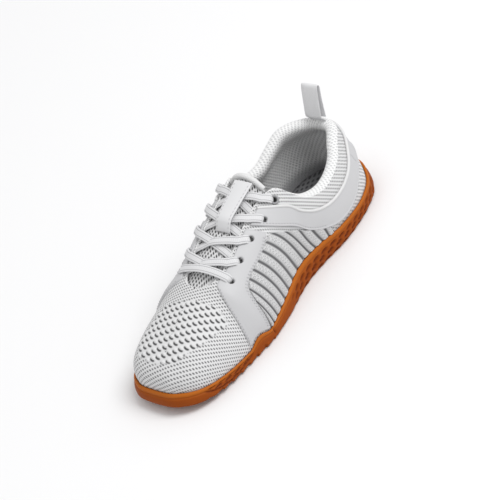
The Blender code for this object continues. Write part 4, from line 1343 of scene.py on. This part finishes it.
def build_outsole():
    s = way_round()[:-1]
    count = len(s)
    away = np.abs(s)
    x, y = outline(s)
    arc = run_of(np.stack([x, y], axis=-1))
    height, tuck = lip_height(s), lip_tuck(s)
    profile = resample(SOLE_SIDE, 6)
    rows, dimple_shade, lip_light = [], [], []
    side_arc = np.where(s >= 0.0, arc, arc[-1] - arc)
    reach = ease((DIMPLE_END - away) / 0.04)
    panel_reach = window(away, *PANEL, 0.015, 0.015)
    along_panel = np.clip((away - PANEL[0]) / (PANEL[1] - PANEL[0]), 0.0, 1.0)
    arch = ARCH_FOOT - ARCH_RISE * np.sin(math.pi * along_panel)
    lug_reach = window(away, *LUG_SPAN, 0.02, 0.04)
    crease_reach = ease(1.0 - np.abs(away - CREASE_STATION) / CREASE_WIDTH)
    tooth = (x / LUG_PITCH) % 1.0 - 0.5
    for out, share in profile:
        share = max(share, 0.0)
        level = height * share
        # Slanted oval dimples in staggered rows, from the heel to the waist
        v = (share - DIMPLE_FOOT) / DIMPLE_STEP[1]
        row_number = math.floor(v + 0.5)
        up = v - row_number
        across = (side_arc / DIMPLE_STEP[0] + DIMPLE_SLANT * up + 0.5 * row_number) % 1.0 - 0.5
        size = np.sqrt((across / DIMPLE_HALF[0]) ** 2 + (up / DIMPLE_HALF[1]) ** 2)
        oval = ease(2.4 - 2.4 * size)
        hollow = oval * window(share, *DIMPLE_BAND, 0.06, 0.06) * reach
        # An arched groove under the toes' outer corner, with dimples over it
        line = ease(1.5 - np.abs(share - arch) / ARCH_WIDTH) * panel_reach
        over = window(share, arch + ARCH_WIDTH, PANEL_TOP, ARCH_WIDTH, 0.05) * panel_reach
        hollow = np.maximum(hollow, np.maximum(line * SHALLOW, oval * over))
        # The crease behind the tab at the ball
        hollow = np.maximum(hollow, crease_reach * ease((share - 0.3) / 0.2) * SHALLOW)
        lug = 2.0 * tooth * lug_reach * ease((LUG_TOP - share) / 0.10) * LUG_REACH
        rows.append(beside(s, out * MM - tuck * share**2 - hollow * DIMPLE_DEPTH + lug, level))
        # The hollows' depth for the painted shade in them, and the upper share of the side for the
        # painted light along the lip
        dimple_shade.append(hollow)
        lip_light.append(np.full(count, ease((share - 0.55) / 0.40)))
    rows.append(beside(s, -(tuck + LIP_THICKNESS * 0.6), height))
    rows.append(beside(s, -(tuck + LIP_THICKNESS), height - 0.4 * MM))
    rows.append(beside(s, -(tuck + LIP_THICKNESS + CUP_DRAFT), np.full(count, FLOOR_THICKNESS)))
    for _ in range(3):
        dimple_shade.append(np.zeros(count))
        lip_light.append(np.ones(count))
    rows = np.array(rows)
    # Tread grooves rise into the bottom and its edge
    rows[..., 2] += groove_rise(rows)
    points = list(rows.reshape(-1, 3))
    faces = grid_faces(len(rows), count, wrap=True)
    toe = int(np.argmin(np.abs(s - 1.0)))
    lateral = list(range(1, toe))
    medial = [count - i for i in range(1, toe)]
    shares = np.linspace(0.0, 1.0, SOLE_ACROSS + 1)[1:-1]
    for start, flip in ((0, True), ((len(rows) - 1) * count, False)):
        ring = rows[start // count]
        names = []
        for a, b in zip(lateral, medial):
            line = [start + a]
            for share in shares:
                point = ring[a] * (1 - share) + ring[b] * share
                base = np.array([point[0], point[1], ground(point[0])])
                if start == 0:
                    base[2] += groove_rise(base[None])[0]
                else:
                    base[2] += FLOOR_THICKNESS
                line.append(len(points))
                points.append(base)
            line.append(start + b)
            names.append(line)
        for one, two in zip(names[:-1], names[1:]):
            for k in range(SOLE_ACROSS):
                face = (one[k], two[k], two[k + 1], one[k + 1])
                faces.append(face if flip else face[::-1])
        faces.append(tuple([start] + names[0]))
        faces.append(tuple([start + toe] + names[-1][::-1]))
    extra = len(points) - rows.shape[0] * count
    values = {
        "dimple_shade": np.concatenate([np.array(dimple_shade).reshape(-1), np.zeros(extra)]),
        "lip_light": np.concatenate([np.array(lip_light).reshape(-1), np.zeros(extra)]),
    }
    made = make_piece("cup_sole", np.array(points), faces, rubber_material(), None, values)
    face_out(made)
    made.data.set_sharp_from_angle(angle=SOLE_CREASE_ANGLE)
    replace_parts(made, "outsole")


def groove_rise(points):
    """How much the tread grooves lift points on and near the underside."""
    above = points[..., 2] - ground(points[..., 0])
    rise = np.zeros(points.shape[:-1])
    for first, last, turn in TREAD:
        steps = int((last - first) * LENGTH / GROOVE_PITCH) + 1
        along = points[..., 0] + math.tan(turn) * points[..., 1]
        for i in range(steps):
            centre = first * LENGTH + i * GROOVE_PITCH
            inside_of = ease((GROOVE_WIDTH / 2 + 0.3 * MM - np.abs(along - centre)) / (0.6 * MM))
            rise = np.maximum(rise, inside_of * np.clip(GROOVE_DEPTH - above, 0.0, GROOVE_DEPTH))
    return rise


def build_insole():
    s = np.linspace(0.01, 0.99, INSOLE_STEPS)
    level = np.full_like(s, FLOOR_THICKNESS + GAP + INSOLE_THICKNESS)
    edges = []
    for side in (1.0, -1.0):
        inset = lip_tuck(side * s) + LIP_THICKNESS + CUP_DRAFT + 2 * GAP + WALL
        edges.append(beside(side * s, -inset, level)[:, None])
    across = np.linspace(0.0, 1.0, INSOLE_ACROSS)[None, :, None]
    high = edges[0] * (1 - across) + edges[1] * across
    low = high - np.array([0.0, 0.0, INSOLE_THICKNESS])
    graph = Graph("insole_cloth")
    holes = graph.smooth(lattice(graph, INSOLE_MESH), 0.18, 0.42)
    color = graph.mix(holes, INSOLE_HOLE, INSOLE_GREY)
    graph.bump(holes, 0.5, 0.5 * MM)
    made = thick_piece("footbed", low, high, graph.finish(color, 0.9), 0.1 * MM)
    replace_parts(made, "insole")


def build_tongue():
    high = refine(tongue_rows(0.0), 110, 120)
    low = refine(tongue_rows(TONGUE_THICKNESS), 110, 120)
    # The tongue's holes get painted shade, nearly black
    material = knit_material("tongue_knit", TONGUE_KNIT, PALE, TONGUE_HOLE_SHADE, 0.95)
    made = thick_piece("tongue_knit", low, high, material)
    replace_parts(made, "tongue")
    top = (high[-1] + low[-1]) / 2
    ends = slice(6, -6)
    binding = tube_piece("tongue_binding", top[ends], TONGUE_THICKNESS * BINDING_SHARE,
                         cloth_material("binding_cloth", BINDING, 60.0, 2600.0, 0.1), sides=14)


def build_tongue_strip():
    low, high = [], []
    for station, width, rise in spread(TONGUE_STRIP, 15):
        half = (STRIP_TAPER[0] * width + STRIP_TAPER[1]) * TONGUE_STRIP_WIDTH / 2
        for grid, extra in ((low, 0.0), (high, TONGUE_STRIP_THICKNESS)):
            line = []
            for across in np.linspace(-1.0, 1.0, 5):
                height = GAP + STRIP_RISE * rise + extra - 2 * GAP * across**2
                line.append(over_tongue(station + STRIP_AHEAD, STRIP_SHIFT + across * half, height))
            grid.append(line)
    low, high = refine(np.array(low), 60, 21), refine(np.array(high), 60, 21)
    made = thick_piece("tongue_strip_film", low, high, film_material("strip_film", STRIP_FILM))
    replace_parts(made, "tongue_strip")
    thread = thread_material()
    for label, column in (("left", 2), ("right", -3)):
        path = high[3:-3, column]
        outs = unit(high[3:-3, column] - low[3:-3, column])
        row = stitches("strip_stitches_" + label, path, outs, thread, STRIP_STITCH)


def thread_material():
    return Graph("thread").finish(THREAD, 0.6)


def overlay(name, edges, profile, material, node):
    """An overlay that lies on the upper between two edges and rounds off at its border."""
    shares = np.array([row[0] for row in profile])
    tops = np.array([row[1] for row in profile])
    s = edges[:, 0:1] * (1 - shares) + edges[:, 2:3] * shares
    v = edges[:, 1:2] * (1 - shares) + edges[:, 3:4] * shares
    lift = np.broadcast_to(tops, s.shape).copy()
    lift[0] = -0.1 * MM
    lift[-1] = -0.1 * MM
    points = lifted(s, v, lift)
    sink = pits(lifted(s, v, np.zeros_like(s)), EYELET_PIT + tops.max(), EYELET_BORE / 2)
    points = lifted(s, v, lift - np.minimum(sink, EYELET_PIT + 1.0 * MM))
    # How far the overlay dips into each eyelet, which its material turns into painted shade, nearly
    # black
    values = {"pit_shade": np.clip(sink / EYELET_PIT, 0.0, 1.0)}
    made = grid_piece(name, points, material, flat_at(s, v), values)
    face_out(made)
    made.data.shade_smooth()
    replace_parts(made, node)
    return made


def border_profile(top, rim=0.0):
    """Heights across an overlay: down to the knit at both edges, with an optional low rim."""
    shares = np.concatenate([[0.0, 0.004, 0.014], np.linspace(0.03, 0.97, 30), [0.986, 0.996, 1.0]])
    heights = []
    for share in shares:
        from_edge = min(share, 1.0 - share)
        height = top * float(ease(from_edge / 0.02)) ** 0.5
        if share < 0.5:
            height += rim * float(window(from_edge, 0.0, RIM_WIDTH, 0.03, 0.04))
        heights.append(height)
    return tuple(zip(shares, heights))


def build_strap(film, thread, white):
    half = resample(STRAP, 12)
    other = half[:0:-1] * np.array([-1.0, 1.0, -1.0, 1.0])
    edges = soften(np.concatenate([other, half]), STRAP_SOFTENING)
    overlay("strap_film", edges, border_profile(OVERLAY_THICKNESS + GAP, RIM_RISE), film, "heel_strap")
    path, _ = on_upper(edges[:, 2:4], PIPING_LIFT)
    piping = tube_piece("strap_piping", path, PIPING_RADIUS, white, sides=10)
    low = edges[:, 0:2] * 0.86 + edges[:, 2:4] * 0.14
    for label, side in (("lateral", 1.0), ("medial", -1.0)):
        keep = side * low[:, 0] > STRAP_STITCH_START
        path, outs = on_upper(low[keep], OVERLAY_THICKNESS + GAP)
        row = stitches("strap_stitches_" + label, path, outs, thread, STRAP_STITCH)
        # The lapped end of the film over the heel
        seam = [(side * SEAM_STATION, rise) for rise in STRAP_SEAM_RISES]
        path, _ = on_upper(spread(seam, 30, 12), OVERLAY_THICKNESS + GAP)
        line = tube_piece("strap_seam_" + label, path, SEAM_RADIUS, thread, sides=6)


def build_saddles(film, thread):
    for label, side in (("lateral", 1.0), ("medial", -1.0)):
        edges = resample(SADDLE, 14) - np.array([*SADDLE_MARGIN, 0.0, 0.0])
        edges = np.maximum(edges, 0.0) * np.array([side, 1.0, side, 1.0])
        profile = border_profile(OVERLAY_THICKNESS + GAP)
        overlay("saddle_film_" + label, edges, profile, film, "saddle_" + label)
        for seam, share in SADDLE_SEAMS:
            line = edges[:, 0:2] * (1 - share) + edges[:, 2:4] * share
            if seam == "front":
                line = line[SADDLE_FRONT_START:]
            path, outs = on_upper(line[4:-2], OVERLAY_THICKNESS + GAP)
            row = stitches("saddle_stitches_%s_%s" % (seam, label), path, outs, thread, SADDLE_STITCH)


def build_ribs():
    """Raised knitted ribs with a row of small bumps along each."""
    graph = Graph("rib_knit")
    # Painted shade darkens the grooves between the ribs
    color = graph.mix(graph.smooth(graph.value("groove_shade"), 0.05, 0.7), RIB_PALE, RIB_GROOVE_SHADE)
    color = graph.mix(graph.times(graph.value("dots"), 0.9), color, RIB_DOT)
    graph.bump(graph.noise(*YARN_NOISE), 0.4, 0.4 * MM)
    material = graph.finish(color, 0.85, sheen=0.15)
    for label, side in (("lateral", 1.0), ("medial", -1.0)):
        columns = resample(RIB_GROOVES, RIB_COLUMNS)
        number = np.arange(len(columns))
        phase = (number / RIB_COLUMNS % 1.0)[:, None]
        up = np.linspace(0.0, 1.0, RIB_RISE)[None, :]
        columns[:, 2] += RIB_TUCK
        s = columns[:, 0:1] * (1 - up) + columns[:, 1:2] * up
        v = OVERLAY_FOOT * 0.4 * (1 - up) + columns[:, 2:3] * up
        count = run_of(place(side * s, v), 1) / RIB_DOT_STEP
        round_rib = 1.0 - np.abs(2.0 * phase - 1.0) ** 3
        # Two staggered lines of bumps on each rib
        dots = np.zeros_like(count)
        for centre, shift in RIB_DOT_LINES:
            off = (count + shift) % 1.0 - 0.5
            away = np.sqrt((off / 0.36) ** 2 + ((phase - centre) / 0.13) ** 2)
            dots = np.maximum(dots, ease(1.5 - 1.5 * away))
        fade = window(up, 0.0, 1.0, 0.02, 0.025)
        lift = (RIB_BASE + (RIB_THICKNESS - RIB_BASE) * round_rib + RIB_DOT_RISE * dots) * fade
        end = ease(np.minimum(number, number[::-1]) / 3.0)[:, None]
        # How low each point lies between the ribs, for the painted shade in the grooves
        values = {"groove_shade": (1.0 - round_rib) * fade, "dots": ease(1.0 - np.abs(dots - 0.35) / 0.35)}
        points = lifted(side * s, v, lift * end - 0.05 * MM)
        made = grid_piece("ribs_knit_" + label, points, material, flat_at(side * s, v), values)
        face_out(made)
        made.data.shade_smooth()
        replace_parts(made, "rib_panel_" + label)


def lace_path(above, below, side):
    """A run of the lace: out of one eyelet, over the edge, across, and under the other edge."""
    s0, v0 = EYELETS[above - 1]
    s1 = EYELETS[below - 1][0]
    top = edge_rise(s0)
    loose = 0.0 if side > 0.0 else 1.0
    turned = s0 + LACE_SLANT * (s1 - s0)
    rows = [(v0 + up, lift + more * loose) for up, lift, more in LACE_START]
    up, lift, more = LACE_OVER_EDGE
    rows.append(((v0 + top) / 2 + up, lift + more * loose))
    points = []
    for rise, lift in rows:
        station = s0 + (turned - s0) * (rise - v0) / (top - v0)
        points.append(lifted(side * station, rise, lift * MM))
    for t in np.linspace(0.0, 1.0, 12):
        station = turned + (s1 - turned) * t
        down = ease(t / 0.8)
        height = LACE_OVER_THROAT * (1.0 - down) + LACE_UNDER_THROAT * down
        height += (1.0 - loose) * LACE_HUMP * math.exp(-(((t - 0.5) / 0.17) ** 2))
        points.append(crown(station, (t if side > 0.0 else 1.0 - t,), height, LACE_CROWN)[0])
    points.append(lifted(-side * s1, edge_rise(s1) - LACE_END[0], LACE_END[1]))
    return resample(points, 8)


def lace_piece(name, path, material):
    ups = lace_ups(path)
    across = np.cross(ups, unit(np.gradient(path, axis=0)))
    made = tube_piece(name, path, LACE_WIDTH * LACE_HALF_WIDTH, material, across, sides=20,
                      flatten=LACE_FLATNESS)
    return made


def build_laces():
    material = lace_material()
    for above, below in LACE_RUNS:
        for label, side in (("lateral", 1.0), ("medial", -1.0)):
            made = lace_piece("lace_%s_%d" % (label, above), lace_path(above, below, side), material)
            if label == "lateral":
                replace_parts(made, "lace_crossing_%d" % above)
    station, rise = EYELETS[-1]
    ends = []
    for side in (1.0, -1.0):
        ends.append([lifted(side * station, rise + up, lift * MM)
                     for up, lift in LACE_BAR_START])
    middle = list(crown(station, np.linspace(0.0, 1.0, 7), LACE_BAR_LIFT, TONGUE_CROWN))
    path = resample(ends[0] + middle + ends[1][::-1], 8)
    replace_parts(lace_piece("lace_bar_flat", path, material), "lace_bar")


def lace_ups(path):
    """Directions out of the shoe along a lace: up over the throat, outwards at its sides."""
    away = np.clip(path[:, 1] / (34 * MM), -1.0, 1.0)
    return unit(np.stack([np.full_like(away, 0.25), 0.9 * away, 1.0 - 0.45 * np.abs(away)], axis=-1))


def lace_material():
    """Flat weave with chevrons and a darker line along each side."""
    graph = Graph("lace_cloth")
    u, v = graph.flat()
    across = graph.math("PINGPONG", u, 0.25)
    chevron = graph.math("ADD", graph.times(v, 2.0 * math.pi / LACE_CHEVRON), graph.times(across, 40.0))
    share = graph.smooth(graph.math("SINE", chevron), -1.0, 1.0)
    color = graph.mix(graph.times(share, 0.14), LACE_PALE, LACE_WEAVE)
    edge = graph.math("ABSOLUTE", graph.math("SUBTRACT", across, 0.17))
    line = graph.fall(edge, 0.004, 0.022)
    color = graph.mix(graph.times(line, 0.75), color, LACE_LINE)
    graph.bump(graph.math("SUBTRACT", share, line), 0.35, 0.25 * MM)
    return graph.finish(color, 0.8, sheen=0.2)


def build_eyelet_rings():
    material = Graph("eyelet_grey").finish(RING_GREY, 0.45)
    for label, side in (("lateral", 1.0), ("medial", -1.0)):
        station, rise = EYELETS[0]
        at = lifted(side * station, rise, 0.5 * MM)
        out = unit(lifted(side * station, rise, 1.5 * MM) - at)
        one = unit(lifted(side * station + 0.003, rise, 0.5 * MM) - at)
        two = np.cross(out, one)
        turns = np.linspace(0.0, 2.0 * math.pi, 41)[:-1]
        radius = (EYELET_BORE + EYELET_RING) / 4
        path = at + radius * (np.cos(turns)[:, None] * one + np.sin(turns)[:, None] * two)
        ring = tube_piece("eyelet_%s" % label, path, (EYELET_RING - EYELET_BORE) / 4, material,
                          np.broadcast_to(out, path.shape), sides=10, closed=True)
        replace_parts(ring, "eyelet_ring_" + label)


def build_pull_loop(thread):
    start = top_line(np.zeros(1))[0]
    line = spread(PULL_LOOP, 70)
    path = np.array([[start[0] + x * PULL_HEIGHT, 0.0, start[2] + z * PULL_HEIGHT] for x, z in line])
    across = np.broadcast_to(np.array([0.0, 1.0, 0.0]), path.shape)
    material = cloth_material("webbing", WEBBING, 400.0, 2 * math.pi / WEBBING_THREAD, 0.3)
    made = tube_piece("heel_webbing", path, PULL_WIDTH / 2, material, across, sides=24,
                      flatten=PULL_THICKNESS / PULL_WIDTH)
    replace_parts(made, "pull_loop")
    out = np.array([1.0, 0.0, 0.35])
    ahead, up = WEBBING_SEAM
    low = np.array([start[0] + ahead * PULL_HEIGHT, 0.0, start[2] + up * PULL_HEIGHT])
    ends = np.linspace(-WEBBING_SEAM_HALF, WEBBING_SEAM_HALF, 20) * PULL_WIDTH
    row = low[None] + np.stack([np.zeros(20), ends, np.zeros(20)], axis=-1)
    outs = np.broadcast_to(out, row.shape)
    made = stitches("webbing_stitches", row + out * WEBBING_SEAM_LIFT, outs, thread, WEBBING_STITCH)


def build_heel_seam(thread):
    """The upright seam of the lining inside the heel."""
    points = []
    for s, v in spread([(0.0, rise) for rise in HEEL_SEAM_RISES], 40, 12):
        points.append(lifted(s, v, -float(thickness_of(s, v)) - 0.1 * MM))
    seam = tube_piece("lining_seam", np.array(points), LINING_SEAM_RADIUS, thread, sides=6)


# The studio

def build_studio():
    mesh = bpy.data.meshes.new("floor")
    corners = [(x * FLOOR_HALF, y * FLOOR_HALF, 0) for x, y in ((-1, -1), (1, -1), (1, 1), (-1, 1))]
    mesh.from_pydata(corners, [], [(0, 1, 2, 3)])
    floor = bpy.data.objects.new("floor", mesh)
    bpy.context.scene.collection.objects.link(floor)
    graph = Graph("floor_paper")
    color = graph.mix(graph.noise(*PAPER_NOISE), PAPER, PAPER_CLOUD)
    mesh.materials.append(graph.finish(color, 0.9))
    world = bpy.data.worlds.new("studio")
    bpy.context.scene.world = world
    world.use_nodes = True
    bpy.context.scene.view_settings.view_transform = "Standard"
    sky = world.node_tree.nodes["Background"]
    sky.inputs["Color"].default_value = (1.0, 1.0, 1.0, 1.0)
    sky.inputs["Strength"].default_value = SKY_STRENGTH
    for name, size, power, azimuth, elevation, distance in LIGHTS:
        lamp = bpy.data.lights.new(name, "AREA")
        lamp.size = size
        lamp.energy = power
        holder = bpy.data.objects.new(name, lamp)
        bpy.context.scene.collection.objects.link(holder)
        az, el = math.radians(azimuth), math.radians(elevation)
        away = Vector((math.cos(az) * math.cos(el), math.sin(az) * math.cos(el), math.sin(el)))
        holder.location = away * distance
        holder.rotation_euler = (-away).to_track_quat("-Z", "Y").to_euler()


def build_camera():
    lens = bpy.data.cameras.new("photo_camera")
    lens.sensor_width = SENSOR_WIDTH
    lens.lens = CAMERA_LENS
    lens.clip_end = CAMERA_CLIP
    camera = bpy.data.objects.new("photo_camera", lens)
    bpy.context.scene.collection.objects.link(camera)
    back = Vector((math.cos(CAMERA_AZIMUTH) * math.cos(CAMERA_ELEVATION),
                   math.sin(CAMERA_AZIMUTH) * math.cos(CAMERA_ELEVATION), math.sin(CAMERA_ELEVATION)))
    aim = Vector(CAMERA_AIM) + Vector(SHIFT)
    turn = (-back).to_track_quat("-Z", "Y").to_matrix()
    camera.matrix_world = (Matrix.Translation(aim + back * CAMERA_DISTANCE)
                           @ (turn @ Matrix.Rotation(-CAMERA_ROLL, 3, "Z")).to_4x4())
    bpy.context.scene.camera = camera


def build_scene():
    film = film_material("smooth_film", FILM)
    thread = thread_material()
    white = Graph("piping_film").finish(PIPING, 0.45)
    build_upper()
    build_outsole()
    build_insole()
    build_tongue()
    build_tongue_strip()
    build_strap(film, thread, white)
    build_saddles(film, thread)
    build_ribs()
    build_laces()
    build_eyelet_rings()
    build_pull_loop(thread)
    build_heel_seam(thread)
    build_studio()
    build_camera()


build_scene()
